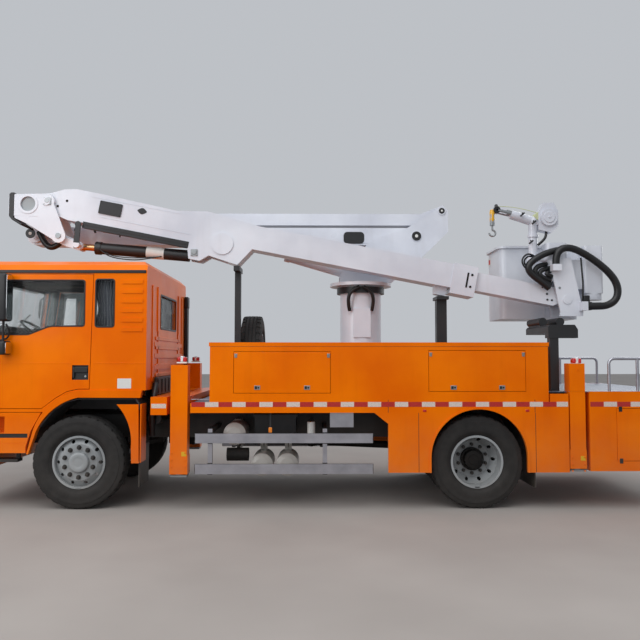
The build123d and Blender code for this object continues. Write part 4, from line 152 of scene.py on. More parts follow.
def threadsOf(tree, place, scale, distortion, direction="X"):
    return addNode(tree, "ShaderNodeTexWave", {"Scale": scale, "Distortion": distortion,
                   "bands_direction": direction}, {"Vector": place}).outputs["Fac"]


def roadDust(tree, place, color, reach, amount, dust="8C7F70"):
    # thickens below reach metres, broken up by drifts the size of a hand
    height = addNode(tree, "ShaderNodeSeparateXYZ", links={"Vector": place}).outputs["Z"]
    low = addNode(tree, "ShaderNodeMapRange", {"From Min": reach, "From Max": 0.2, "To Max": amount},
                  {"Value": height}).outputs[0]
    drift = mathNode(tree, "MULTIPLY", low, noise(tree, place, 7, 5))
    return mixColors(tree, drift, color, dust)


def enamelPaint(name, codes, gloss, dustReach=1.1, dustAmount=0.5, coat=0.5, tint="FFFFFF"):
    # two-pack enamel sprayed on sheet steel: an even colour with slow shade changes, streaks of
    # dirt, a clear gloss, panels that are never quite flat, and road dust low down
    material, tree, shader, place = startMaterial(name, gloss, Coat_Weight=coat, Coat_Roughness=0.12)
    shader.inputs["Specular Tint"].default_value = hexColor(tint)
    stain = ramp(tree, noise(tree, place, 9, 4, stretch=(1, 1, 0.12)),
                 [(0.56, "000000"), (0.74, "595959")])
    color = mixColors(tree, stain, mottle(tree, place, 1.3, 4, codes, 0.35, 0.65), codes[2])
    roughen(tree, shader, noise(tree, place, 4, 5), gloss - 0.06, gloss + 0.12)
    skin(tree, shader, roadDust(tree, place, color, dustReach, dustAmount),
         noise(tree, place, 3.2, 2), 0.004)
    return material


def plainMetal(name, codes, roughness, grainScale, metallic=1.0, grainDepth=0.0004, stretch=None):
    # bare or plated metal: colour drifts a little, and a brushed or drawn grain breaks the shine
    material, tree, shader, place = startMaterial(name, roughness, metallic)
    grain = noise(tree, place, grainScale, 3, stretch)
    roughen(tree, shader, grain, roughness - 0.08, roughness + 0.12)
    skin(tree, shader, mottle(tree, place, 5, 4, codes), grain, grainDepth, 0.6)
    return material


def mouldedPolymer(name, codes, roughness, grainMm, dustReach=0.9, dustAmount=0.35):
    # moulded black plastic or rubber: matt, with a leather-like grain from the tool
    material, tree, shader, place = startMaterial(name, roughness)
    color = roadDust(tree, place, mottle(tree, place, 6, 4, codes), dustReach, dustAmount)
    skin(tree, shader, color, cellsOf(tree, place, 1000 / grainMm), 0.0006)
    return material


def clearSheet(name, tint, alpha):
    # glass or acrylic sheet, never quite flat
    material, tree, shader, place = startMaterial(name, 0.02, Transmission_Weight=1.0, IOR=1.5,
                                                  Alpha=alpha, Base_Color=hexColor(tint))
    skin(tree, shader, None, noise(tree, place, 2.5, 1), 0.0006, 0.3)
    return material


def glowingLens(name, codes, roughness=0.12):
    # pressed acrylic lens with small prisms on its inside
    material, tree, shader, place = startMaterial(name, roughness, Coat_Weight=0.6, Coat_Roughness=0.05)
    cells = cellsOf(tree, place, 60)
    skin(tree, shader, ramp(tree, cells, [(0.1, codes[0]), (0.6, codes[1])]), cells, 0.002, 0.6)
    return material


def tyreRubber():
    # vulcanised rubber: near black, greyer where dust sits in the pores
    material, tree, shader, place = startMaterial("vulcanised tyre rubber", 0.8)
    color = mottle(tree, place, 11, 6, ("131212", "232120"))
    skin(tree, shader, roadDust(tree, place, color, 1.05, 0.22, "5A5149"),
         noise(tree, place, 90, 4), 0.003)
    return material


def glassFibreSkin():
    # gel-coated glass fibre: smooth white, streaked a little, with the weave just showing
    material, tree, shader, place = startMaterial("gel coated glass fibre", 0.3, Coat_Weight=0.4,
                                                  Coat_Roughness=0.1)
    color = mottle(tree, place, 2.2, 4, ("CDD0D8", "DFE2E8"), 0.35)
    streak = ramp(tree, noise(tree, place, 14, 3, (1, 1, 0.1)), [(0.6, "000000"), (0.8, "404040")])
    skin(tree, shader, mixColors(tree, streak, color, "A8A294"), cellsOf(tree, place, 140),
         0.0008, 0.4)
    return material


def checkerDeck():
    # rolled tread plate, painted: raised bars 25 mm apart, the paint worn lighter on top of them
    material, tree, shader, place = startMaterial("painted tread plate", 0.45, 0.2)
    turned = addNode(tree, "ShaderNodeMapping", {"Rotation": (0, 0, math.radians(45))},
                     {"Vector": place}).outputs[0]
    raised = ramp(tree, cellsOf(tree, turned, 40, Randomness=0.0),
                  [(0.25, "FFFFFF"), (0.45, "000000")])
    worn = mathNode(tree, "MULTIPLY", raised, noise(tree, place, 5, 5))
    color = mixColors(tree, worn, mottle(tree, place, 3, 5, ("4C5668", "667084")), "9BA2AC")
    skin(tree, shader, color, raised, 0.003, 0.7)
    return material


def wovenSeat():
    # flat woven seat cloth, threads drawn 4 mm apart so that they show
    material, tree, shader, place = startMaterial("woven seat cloth", 0.9, Sheen_Weight=0.3)
    weave = mathNode(tree, "MULTIPLY", threadsOf(tree, place, 80, 0.6),
                     threadsOf(tree, place, 80, 0.6, "Z"))
    skin(tree, shader, ramp(tree, weave, [(0.2, "1C1F27"), (0.8, "3A3F4C")]), weave, 0.002, 0.6)
    return material


def foldedCloth():
    # thin polyester curtain, faded along the folds by the sun, threads drawn 3 mm apart
    material, tree, shader, place = startMaterial("faded polyester curtain", 0.8, Sheen_Weight=0.3)
    fade = noise(tree, place, 9, 4, stretch=(1, 1, 0.15))
    skin(tree, shader, ramp(tree, fade, [(0.35, "22252C"), (0.62, "5E626C")]),
         threadsOf(tree, place, 105, 0.4, "Z"), 0.0006, 0.4)
    return material


def reflectiveTape(name, codes):
    # prismatic tape: a honeycomb under a clear film
    material, tree, shader, place = startMaterial(name, 0.3, Coat_Weight=0.6, Coat_Roughness=0.1)
    cells = cellsOf(tree, place, 110, feature="DISTANCE_TO_EDGE")
    color = ramp(tree, cells, [(0.02, codes[1]), (0.12, codes[0])])
    skin(tree, shader, roadDust(tree, place, color, 1.5, 0.3), cells, 0.0004, 0.4)
    return material


def grimyLabel(name, code):
    # blank printed film, faded a little and dirty in places
    material, tree, shader, place = startMaterial(name, 0.5)
    grime = mottle(tree, place, 12, 4, ("000000", "3A3A3A"), 0.45, 0.8)
    skin(tree, shader, mixColors(tree, grime, code, "8E8670"), noise(tree, place, 60, 2), 0.0003, 0.3)
    return material


finishes = {
    "orange": enamelPaint("orange enamel on sheet steel", ("E66600", "F47800", "B45000"), 0.3, 1.1, 0.3,
                          coat=0.12, tint="FF8A3C"),
    "boomWhite": enamelPaint("white polyurethane paint", ("C9CCD6", "DEE1E9", "A9A8A6"), 0.28, 0.2,
                             0.0),
    "chassisBlack": enamelPaint("black chassis enamel", ("17181A", "222326", "3A3632"), 0.45, 1.0, 0.7,
                                coat=0.1),
    "tankGrey": enamelPaint("light grey tank enamel", ("A9A5A0", "BEBAB4", "807A74"), 0.38, 1.0, 0.45,
                            coat=0.2),
    "rimSilver": enamelPaint("silver wheel enamel", ("858A8D", "A0A5A8", "6C665F"), 0.36, 0.9, 0.45,
                             coat=0.3),
    "castIron": plainMetal("cast iron axle", ("1B1A1A", "2E2A27"), 0.62, 90, 0.6, 0.002),
    "railAlloy": plainMetal("extruded aluminium", ("A8A8B0", "C3C3CA"), 0.33, 240, 1.0, 0.0003,
                            stretch=(0.03, 1, 1)),
    "hardChrome": plainMetal("oiled hard chrome", ("B08A62", "C9A078"), 0.16, 300, 1.0, 0.0001),
    "zincSteel": plainMetal("galvanised steel", ("8D9092", "A9ACAE"), 0.42, 60, 1.0, 0.0004),
    "brass": plainMetal("brass", ("A88A3C", "C4A552"), 0.3, 120, 1.0, 0.0002),
    "blackPlastic": mouldedPolymer("moulded black ABS", ("101012", "1B1B1E"), 0.42, 4),
    "hoseRubber": mouldedPolymer("black hose rubber", ("0C0C0E", "161618"), 0.38, 8, 0.3, 0.1),
    "lensRed": glowingLens("red acrylic lens", ("8E0A08", "C81410")),
    "lensAmber": glowingLens("amber acrylic lens", ("C45A06", "F08A14")),
    "lensClear": glowingLens("clear lamp glass", ("B8BCC0", "E8ECEE"), 0.06),
    "windowGlass": clearSheet("tinted window glass", "C4D2CC", alpha=0.2),
    "mirrorGlass": plainMetal("silvered mirror glass", ("C8CCD0", "D6DADD"), 0.04, 20, 1.0, 0.00005),
    "tyre": tyreRubber(),
    "glassFibre": glassFibreSkin(),
    "deck": checkerDeck(),
    "seatCloth": wovenSeat(),
    "tapeRed": reflectiveTape("red reflective tape", ("C21208", "8E0C06")),
    "tapeWhite": reflectiveTape("white reflective tape", ("E6D6CC", "B8A89E")),
    "labelYellow": grimyLabel("blank yellow film", "D8A814"),
    "labelWhite": grimyLabel("blank white film", "D8D8D4"),
    "labelRed": grimyLabel("blank red film", "C0160C"),
    "cabTrim": mouldedPolymer("dark grey moulded cab trim", ("1E1F22", "2B2C30"), 0.6, 5),
    "innerWing": mouldedPolymer("grey moulded inner wing", ("26272A", "3C3D40"), 0.6, 9, 1.3, 0.5),
    "curtainCloth": foldedCloth(),
    "paleRope": mouldedPolymer("pale synthetic rope", ("CDD2A8", "B4B98E"), 0.7, 6),
    "smokedAcrylic": clearSheet("smoked acrylic", "3A3A40", alpha=0.55),
    "lampGlass": clearSheet("clear lamp cover", "F2F4F6", alpha=0.3),
    "yellowPaint": enamelPaint("yellow enamel", ("D8A010", "E8B420", "A07A18"), 0.35, 0.2, 0.0),
}
print("materials", len(finishes))

# frame nodes that keep their own mesh, with the finish they get
nodeFinish = {
    "orange": ["cab_shell", "cab_door_*", "locker_*", "lower_body", "toolbox_door", "beam_*",
               "outrigger_housings", "front_bumper"],
    "boomWhite": ["pedestal", "turret", "lower_arm", "arm_link", "elbow", "upper_boom", "boom_inner",
                  "lift_barrel", "platform_bracket", "bucket_frame", "jib"],
    "glassFibre": ["bucket"], "deck": ["deck_plate"], "tankGrey": ["tanks"],
    "chassisBlack": ["chassis_frame", "boom_rests", "luff_barrel"],
    "castIron": ["axles", "engine_block", "knuckle_*"],
    "blackPlastic": ["mudguards", "dashboard"], "railAlloy": ["side_guards", "handrails"],
    "hardChrome": ["lift_rod", "luff_rod"], "zincSteel": ["jack_*", "hook"],
    "rimSilver": ["front_rim_*", "rear_rims_*"],
    "tyre": ["front_tyre_*", "rear_tyres_*", "spare_wheel"],
    "hoseRubber": ["hose_loop"], "seatCloth": ["cab_seats"], "windowGlass": ["cab_glass"],
}
for finish, patterns in nodeFinish.items():
    for name in (name for pattern in patterns for name in fnmatch.filter(cadNodes, pattern)):
        cadNodes[name].data.materials.clear()
        cadNodes[name].data.materials.append(finishes[finish])
print("finishes on the frame's own pieces")


# ---- mesh helpers: every piece is made in place, with its object at the origin
sides = {"left": -1, "right": 1}


def addPiece(piece, body, finish, slot=None, replaces=()):
    bpy.context.scene.collection.objects.link(piece)
    piece.data.materials.append(finishes[finish])
    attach(piece, body)
    if replaces:
        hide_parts(*replaces)
    return piece


def finishPiece(name, bm, body, finish, bevel=0, smooth=True, **options):
    bmesh.ops.recalc_face_normals(bm, faces=bm.faces)
    mesh = bpy.data.meshes.new(name)
    bm.to_mesh(mesh)
    bm.free()
    piece = bpy.data.objects.new(name, mesh)
    if bevel:
        edges = piece.modifiers.new("edges", "BEVEL")
        edges.width = bevel / 1000
        edges.segments = 2
        edges.limit_method = "ANGLE"
        edges.angle_limit = math.radians(40)
    if smooth:
        mesh.shade_smooth()
        mesh.set_sharp_from_angle(angle=math.radians(38))
    return addPiece(piece, body, finish, **options)


def makePiece(name, body, finish, shapes, bevel=0, **options):
    # each row of shapes is one of the functions below with its values, all in millimetres
    bm = bmesh.new()
    for shape, *values in shapes:
        shape(bm, *values)
    finishPiece(name, bm, body, finish, bevel, **options)


def makePair(name, body, finish, shapes, bevel=0, replaces=(), **options):
    # the same piece on both sides, from shapes that take the side first; {} is the side's name
    for sideName, side in sides.items():
        makePiece(f"{name}_{sideName}", body.format(sideName), finish,
                  [(shape, side, *values) for shape, *values in shapes], bevel,
                  replaces=[node.format(sideName) for node in replaces], **options)


def boxIn(bm, low, high):
    lowCorner, highCorner = at(*low), at(*high)
    size = highCorner - lowCorner
    place = Matrix.Translation((lowCorner + highCorner) / 2) @ Matrix.Diagonal((*size, 1))
    bmesh.ops.create_cube(bm, size=1, matrix=place)


def sideBox(bm, side, xSpan, reach, zSpan):
    near, far = sorted((side * reach[0], side * reach[1]))
    boxIn(bm, (xSpan[0], near, zSpan[0]), (xSpan[1], far, zSpan[1]))


def rodIn(bm, start, end, radius, segments=20):
    a, b = at(*start), at(*end)
    turn = (b - a).to_track_quat("Z", "Y").to_matrix().to_4x4()
    bmesh.ops.create_cone(bm, cap_ends=True, segments=segments, radius1=radius / 1000,
                          radius2=radius / 1000, depth=(b - a).length,
                          matrix=Matrix.Translation((a + b) / 2) @ turn)


def sideRod(bm, side, x, z, reach, radius, segments, shift=(0, 0)):
    rodIn(bm, (x, side * reach[0], z), (x + shift[0], side * reach[1], z + shift[1]), radius, segments)


def ballIn(bm, centre, radius, segments):
    bmesh.ops.create_uvsphere(bm, u_segments=segments, v_segments=segments // 2,
                              radius=radius / 1000, matrix=Matrix.Translation(at(*centre)))


def spunIn(bm, profile, centre, axis, segments):
    # profile rows are (distance along the axis, radius)
    axis = Vector(axis).normalized()
    side = axis.orthogonal().normalized()
    middle = at(*centre)
    verts = [bm.verts.new(middle + axis * along / 1000 + side * radius / 1000)
             for along, radius in profile]
    edges = [bm.edges.new(pair) for pair in zip(verts, verts[1:])]
    bmesh.ops.spin(bm, geom=verts + edges, cent=middle, axis=axis, angle=tau, steps=segments,
                   use_merge=True)
    bmesh.ops.remove_doubles(bm, verts=bm.verts, dist=0.00001)


def joinInto(bm, part):
    carrier = bpy.data.meshes.new("carrier")
    part.to_mesh(carrier)
    part.free()
    bm.from_mesh(carrier)
    bpy.data.meshes.remove(carrier)


def plateIn(bm, outline, push, corner=0, ring=0):
    # flat plate from an outline with rounded corners, or only a ring along its edge
    part = bmesh.new()
    part.faces.new([part.verts.new(at(*point)) for point in outline])
    if corner:
        bmesh.ops.bevel(part, geom=part.verts[:], offset=corner / 1000, affect="VERTICES",
                        segments=5, profile=0.5, material=-1)
    if ring:
        inside = part.faces[:]
        bmesh.ops.inset_individual(part, faces=inside, thickness=ring / 1000, use_even_offset=True)
        bmesh.ops.delete(part, geom=inside, context="FACES_ONLY")
    grown = bmesh.ops.extrude_face_region(part, geom=part.faces[:])["geom"]
    bmesh.ops.translate(part, vec=Vector(push) / 1000,
                        verts=[item for item in grown if isinstance(item, bmesh.types.BMVert)])
    bmesh.ops.recalc_face_normals(part, faces=part.faces)
    joinInto(bm, part)


def onSide(side, reach, outline):
    return [(x, side * reach, z) for x, z in outline]


def sidePlate(bm, side, outline, reach, thick, corner=0, ring=0):
    plateIn(bm, onSide(side, reach, outline), (0, side * thick, 0), corner, ring)


def around(middle, half):
    return (middle - half, middle + half)


def rectangle(xSpan, zSpan):
    return [(xSpan[0], zSpan[0]), (xSpan[1], zSpan[0]), (xSpan[1], zSpan[1]), (xSpan[0], zSpan[1])]


def acrossTruck(x, ySpan, zSpan):
    return [(x, y, z) for y, z in rectangle(ySpan, zSpan)]


def ringOf(count, radius, x, z, phase=0):
    turns = [tau * (number + phase) / count for number in range(count)]
    return [(x + radius * math.cos(turn), z + radius * math.sin(turn)) for turn in turns]


def tubeAlong(name, body, diameter, points, finish="hoseRubber", replaces=()):
    # one smooth line through millimetre points
    curve = bpy.data.curves.new(name, "CURVE")
    curve.dimensions = "3D"
    curve.bevel_depth = diameter / 2000
    curve.bevel_resolution = 3
    curve.use_fill_caps = True
    curve.resolution_u = 8
    spline = curve.splines.new("NURBS")
    spline.points.add(len(points) - 1)
    for point, spot in zip(spline.points, points):
        point.co = (*at(*spot), 1)
    spline.order_u = 3
    spline.use_endpoint_u = True
    piece = addPiece(bpy.data.objects.new(name, curve), body, finish, replaces=replaces)


# ---- reflective tape: red and white strips along the band and the rear skirt, on both sides
tape = {"length": 150, "shortest": 20, "period": 305, "height": 54, "middle": 1176,
        "reach": (1250, 1251.2), "runs": [(1275, 5520), (5775, 6940)]}


def makeTape():
    for color, phase in (("Red", 0), ("White", 1)):
        strips = []
        for first, last in tape["runs"]:
            x = first + phase * tape["period"] / 2
            while x + tape["shortest"] < last:
                strips.append((sideBox, (x, min(x + tape["length"], last)), tape["reach"],
                               around(tape["middle"], tape["height"] / 2)))
                x += tape["period"]
        makePair(f"tape_{color.lower()}", "truck", f"tape{color}", strips, smooth=False)


makeTape()
print("tape on both sides")

# ---- wheels: treaded tyres in place of the plain ones, nuts, hub caps and dark rear hubs
tyre = {"radius": 522, "segments": 96, "lugDepth": 9, "lugEvery": 3, "shoulder": (83, 136),
        "shoulderRadius": 500, "nutCircle": 167, "nuts": 10}
# wheels: name, x, where the tyres sit, the node they replace, the nuts' seat, the rim's edge
wheels = [("front", 0, [1051], "front_tyre_{}", 1162, 1168),
          ("rear", 4500, [1060, 720], "rear_tyres_{}", 896, 1176)]
# one wheel nut on its washer over the stud: from and to along the stud, radius, segments
nutParts = [(0, 5, 27, 20), (4, 34, 21, 6), (34, 46, 15, 12)]
# across the tread from its middle: distance, radius
tyreProfile = [(0, 522), (20, 522), (22, 511), (32, 511), (34, 522), (66, 522), (68, 511), (79, 511),
               (81, 521), (104, 519), (124, 515), (132, 506), (137, 484), (141, 462), (145, 460),
               (147, 440), (146, 436), (149, 405), (149, 374), (145, 352), (139, 336), (133, 331),
               (127, 322), (118, 308), (109, 300), (107, 287)]
# caps: piece, wheel, finish, rows of (along the axle, radius), and their bolts' circle, number,
# finish, reach and radius
caps = [("hub_cap", "front", "rimSilver", [(1196, 0.2), (1196, 48), (1200, 56), (1200, 92),
                                           (1197, 104), (1189, 112), (1167, 118), (1157, 118)],
         82, 8, "zincSteel", (1185, 1196), 7),
        ("rear_hub", "rear", "castIron", [(895, 133), (952, 133), (955, 112), (1012, 104), (1018, 96),
                                          (1019, 60), (1024, 56), (1024, 0)],
         120, 10, "castIron", (950, 964), 9)]


def tyreIn(bm, centre, axis, profile):
    part = bmesh.new()
    rows = [(-along, radius) for along, radius in reversed(profile[1:])] + profile
    spunIn(part, rows, centre, axis, tyre["segments"])
    bmesh.ops.bridge_loops(part, edges=[edge for edge in part.edges if len(edge.link_faces) == 1])
    # notches between the shoulder blocks
    middle = at(*centre)
    axis = Vector(axis)
    side = axis.orthogonal().normalized()
    other = axis.cross(side)
    chosen = []
    for face in part.faces:
        spot = face.calc_center_median() - middle
        radial = spot - axis * spot.dot(axis)
        turn = math.atan2(radial.dot(other), radial.dot(side)) + tau
        notched = int(turn / (tau / tyre["segments"])) % tyre["lugEvery"] == 0
        onShoulder = tyre["shoulder"][0] < abs(spot.dot(axis)) * 1000 < tyre["shoulder"][1]
        if notched and onShoulder and radial.length * 1000 > tyre["shoulderRadius"]:
            chosen.append(face)
    grown = bmesh.ops.extrude_face_region(part, geom=chosen)["geom"]
    bmesh.ops.delete(part, geom=chosen, context="FACES_ONLY")
    for vert in (item for item in grown if isinstance(item, bmesh.types.BMVert)):
        spot = vert.co - middle
        radial = spot - axis * spot.dot(axis)
        vert.co -= radial.normalized() * tyre["lugDepth"] / 1000
    joinInto(bm, part)


def sideTyre(bm, side, x, reach):
    tyreIn(bm, (x, side * reach, tyre["radius"]), (0, 1, 0), tyreProfile)


def sideSpun(bm, side, x, profile):
    rows = [(side * along, radius) for along, radius in profile]
    spunIn(bm, rows, (x, 0, tyre["radius"]), (0, 1, 0), 48)


def makeWheels():
    z = tyre["radius"]
    for place, x, offsets, node, seat, edge in wheels:
        body = place + "_wheel_{}"
        makePair(f"tread_{place}", body, "tyre", [(sideTyre, x, reach) for reach in offsets],
                 replaces=[node])
        nuts = ringOf(tyre["nuts"], tyre["nutCircle"], x, z, 0.5)
        makePair(f"wheel_nuts_{place}", body, "blackPlastic",
                 [(sideRod, *spot, (seat + low, seat + high), radius, segments)
                  for spot in nuts for low, high, radius, segments in nutParts], 1.5)
        for name, wheel, finish, profile, circle, number, bolt, reach, radius in caps:
            if wheel == place:
                makePair(name, body, finish, [(sideSpun, x, profile)])
                makePair(f"{name}_bolts", body, bolt, [(sideRod, *spot, reach, radius, 6)
                                                       for spot in ringOf(number, circle, x, z)])
        # valve stem and a balance weight clipped to the rim's edge
        makePair(f"valve_{place}", body, "zincSteel",
                 [(sideRod, x + 190, z + 178, (edge - 60, edge - 4), 5, 10, (10, 12)),
                  (sideBox, around(x, 30), (edge - 6, edge + 4), (z - 292, z - 276))], 2)


makeWheels()
print("tyres and wheel nuts")

# ---- faces of the frame's own pieces in another finish: node, finish, x, distance from the
# middle line, z, each as lowest and highest in millimetres, and the side where it is only one
repaint = [
    ("cab_door_{}", "blackPlastic", (-1200, -700), (1200.5, 1500), (1700, 2700)),
    ("cab_door_{}", "blackPlastic", (-84.5, 100.5), (1170, 1199.5), (1451.5, 1617.5)),
    ("cab_door_{}", "cabTrim", (-1190, 150), (1149, 1151), (1100, 2660)),
    ("cab_door_{}", "blackPlastic", (-1092, 53), (1150.5, 1199.5), (1954, 2591)),
    ("cab_shell", "cabTrim", (-1248, 701), (0, 1151), (1139, 2764)),
    ("cab_shell", "cabTrim", (-1311, -1200), (0, 1151), (1139, 1935)),
    ("cab_shell", "blackPlastic", (159, 388), (1150.5, 1199.5), (2041, 2602)),
    ("mudguards", "orange", (422, 700), (1199, 1201), (500, 1180)),
    ("mudguards", "orange", (664, 692), (1150, 1201), (500, 1180)),
    ("front_bumper", "blackPlastic", (-1388, -1308), (0, 725), (868, 1032)),
    ("front_bumper", "mirrorGlass", (-1365, -1240), (832, 1128), (642, 828)),
    ("front_bumper", "blackPlastic", (-1160, -690), (990, 1150), (500, 631)),
    ("front_bumper", "blackPlastic", (-1160, -560), (1180, 1199.5), (800, 851)),
    ("side_guards", "chassisBlack", (1400, 2900), (400, 1199.5), (390, 910)),
    ("tanks", "castIron", (1600, 1930), (925, 1090), (510, 690)),
    ("tanks", "labelWhite", (2570, 2670), (970, 1070), (790, 970)),
    ("tanks", "blackPlastic", (1930, 2470), (420, 955), (779, 1041), -1),
    ("tanks", "railAlloy", (1500, 2710), (475, 1125), (475, 986), 1),
    ("pedestal", "hoseRubber", (2900, 3640), (0, 400), (2530.2, 2611)),
    ("lower_body", "blackPlastic", (6924, 6949.5), (869, 1171), (899, 1011)),
    ("lower_body", "lensRed", (6909, 6947), (1076, 1164), (910, 1000)),
    ("lower_body", "lensAmber", (6909, 6947), (976, 1064), (910, 1000)),
    ("lower_body", "lensClear", (6909, 6947), (876, 964), (910, 1000)),
    ("elbow", "chassisBlack", (-335, -215), (540, 580), (3150, 3420)),
]


def repaintFaces(nodeName, finish, xSpan, reach, zSpan, side=0):
    mesh = cadNodes[nodeName].data
    mesh.materials.append(finishes[finish])
    low, high = at(xSpan[0], 0, zSpan[0]), at(xSpan[1], 0, zSpan[1])
    for face in mesh.polygons:
        spot = face.center
        away = (spot.y * side if side else abs(spot.y)) * 1000
        if low.x <= spot.x <= high.x and low.z <= spot.z <= high.z and reach[0] <= away <= reach[1]:
            face.material_index = len(mesh.materials) - 1


for nodeName, *row in repaint:
    for sideName in (sides if "{" in nodeName else [""]):
        repaintFaces(nodeName.format(sideName), *row)
print("second finishes on", len(repaint), "places")

# ---- cab: glass, seals, curtains, trim strips, handles, mirrors and lamps
cab = {"half": 1200, "front": -1362, "rear": 750, "waist": (1632, 1644),
       "doorGlass": [(44, 2582), (44, 2059), (-339, 2059), (-584, 1963), (-1082, 1963), (-1022, 2582)],
       "sideWindow": [(52, 2590), (52, 2051), (-342, 2051), (-586, 1955), (-1090, 1955), (-1030, 2590)],
       "quarterWindow": [(160, 2601), (160, 2042), (387, 2042), (387, 2601)],
       "dripRail": ((-1235, 738), (2664, 2700)), "mirrorX": (-886, -760),
       "mirrorReach": (1214, 1406), "mirrorHeads": [(2119, 2632), (1743, 1878)]}
seal = {"inset": 22, "proud": 5, "corner": 38, "width": 17}
curtain = {"middle": 276, "width": 268, "reach": 1118, "z": 2320, "height": 585, "fold": 16,
           "folds": 44, "tie": 0.24}
mirrorStay = [(-800, 1290, 2080), (-770, 1262, 2010), (-790, 1240, 1930), (-860, 1226, 1900),
              (-1000, 1204, 1880)]
frontMirror = {"centre": (-1352, 1080, 2392), "axis": (1, 0.35, -0.1)}


def tapered(first, second, y=0):
    # four corners of an even plate across the truck; both ends are (x, half width, z)
    (x, half, z), (farX, farHalf, farZ) = first, second
    return [(x, y - half, z), (x, y + half, z), (farX, y + farHalf, farZ), (farX, y - farHalf, farZ)]


def upright(side, near, far, zSpan):
    # four corners of a plate that stands between two (x, y) spots
    spots = [(x, side * y) for x, y in (near, far)]
    return [(*spot, zSpan[0]) for spot in spots] + [(*spot, zSpan[1]) for spot in reversed(spots)]


def makeCabWindows():
    makePair("door_glass", "cab_door_{}", "windowGlass", [(sidePlate, cab["doorGlass"], 1172, 6, 32)])
    for where, window, body in (("door", "sideWindow", "cab_door_{}"),
                                ("quarter", "quarterWindow", "truck")):
        makePair(f"{where}_seal", body, "hoseRubber",
                 [(sidePlate, cab[window], cab["half"] - seal["inset"], seal["inset"] + seal["proud"],
                   seal["corner"], seal["width"])], 3, slot="black_plastic")
    # bonded windscreen and back window: black bands round the glass
    makePiece("windscreen_and_back_seals", "truck", "hoseRubber",
              [(plateIn, tapered((-1356, 1098, 1992), (-1258, 1040, 2668)), (-9, 0, -1.3), 55, 46),
               (plateIn, acrossTruck(746, (-490, 490), (2050, 2490)), (10, 0, 0), 40, 24)],
              3, slot="black_plastic")


def makeCurtains():
    # a pleated curtain, gathered a little below its middle by its tie
    for sideName, side in sides.items():
        bm = bmesh.new()
        bmesh.ops.create_grid(bm, x_segments=72, y_segments=24, size=0.5)
        for vert in bm.verts:
            across, up = vert.co.x, vert.co.y
            tied = 1 - curtain["tie"] * math.exp(-((up + 0.1) / 0.2) ** 2)
            wave = math.sin(across * curtain["folds"] + 1.2 * math.sin(up * 5))
            fold = curtain["fold"] * wave * (0.75 + 0.25 * up)
            vert.co = at(curtain["middle"] + across * curtain["width"] * tied,
                         side * (curtain["reach"] + fold * tied), curtain["z"] + up * curtain["height"])
        piece = finishPiece(f"curtain_{sideName}", bm, "truck", "curtainCloth")
        piece.modifiers.new("cloth", "SOLIDIFY").thickness = 0.0016


def makeMirrors():
    # housings with rounded shells, their glass at the back, and the stay to the door
    near, far = cab["mirrorReach"]
    for sideName, side in sides.items():
        door = f"cab_door_{sideName}"
        shell, panes = bmesh.new(), []
        for low, high in cab["mirrorHeads"]:
            sideBox(shell, side, cab["mirrorX"], (near, far), (low - 10, high + 10))
            outline = acrossTruck(cab["mirrorX"][1], (side * (near + 16), side * (far - 16)),
                                  (low + 4, high - 4))
            panes.append((plateIn, outline, (4, 0, 0), 22))
        bmesh.ops.bevel(shell, geom=shell.edges[:], offset=0.026, affect="EDGES", segments=4,
                        profile=0.5, material=-1)
        finishPiece(f"mirror_shells_{sideName}", shell, door, "blackPlastic")
        makePiece(f"mirror_glass_{sideName}", door, "mirrorGlass", panes, 1)
        tubeAlong(f"mirror_stay_{sideName}", door, 20, [(x, side * y, z) for x, y, z in mirrorStay],
                  "blackPlastic")


def makeCabOutside():
    half = cab["half"]
    xSpan, zSpan = cab["dripRail"]
    makePair("drip_rail", "truck", "hoseRubber", [(sideBox, xSpan, (half - 2, half + 10), zSpan)], 5,
             slot="black_plastic")
    # pressed bead along the waist, on the door and behind it
    for where, xSpan, body in (("door", (-1168, -92), "cab_door_{}"), ("cab", (152, 738), "truck")):
        makePair(f"waist_bead_{where}", body, "orange",
                 [(sidePlate, rectangle(xSpan, cab["waist"]), half - 1, 3.2)], 3)
    # grip of the door, in its black recess, and the lock under it
    makePair("door_grip", "cab_door_{}", "blackPlastic",
             [(sideBox, (-74, 92), (1177, 1196), (1532, 1596)),
              (sideBox, (-82, -58), (1177, 1199), (1470, 1602))], 7)
    makePair("door_lock", "cab_door_{}", "zincSteel", [(sideRod, 62, 1490, (1176, 1186), 13, 20)], 2)
    # blank plate low on the cab, behind the door
    makePair("blank_sticker", "truck", "labelWhite",
             [(sidePlate, rectangle((428, 584), (1354, 1466)), half - 1, 2.5, 6)])
    # inner wing over the front wheel, from the step box to the corner piece
    lip = [(-445, 925), (-420, 965), (-290, 1115), (-150, 1205), (-13, 1240), (640, 1240),
           (676, 1180), (676, 1110)]
    inside = [(x * 0.985, z - 9) for x, z in reversed(lip)]
    wall = [(-330, 1085), (-290, 1115), (-150, 1198), (-13, 1232), (664, 1232), (664, 1085),
            (360, 1085)]
    makePair("inner_wing", "truck", "innerWing",
             [(sidePlate, lip + inside, 640, 540), (sidePlate, wall, 640, 8)])
    makePiece("sun_visor", "truck", "smokedAcrylic",
              [(plateIn, tapered((-1252, 1060, 2706), (-1376, 1010, 2618)), (3, 0, 5), 30)])
    makePiece("visor_brackets", "truck", "orange",
              [(plateIn, tapered((-1258, 12, 2690), (-1330, 12, 2648), y), (3, 0, 6))
               for y in (-1000, -500, 500, 1000)], 2)


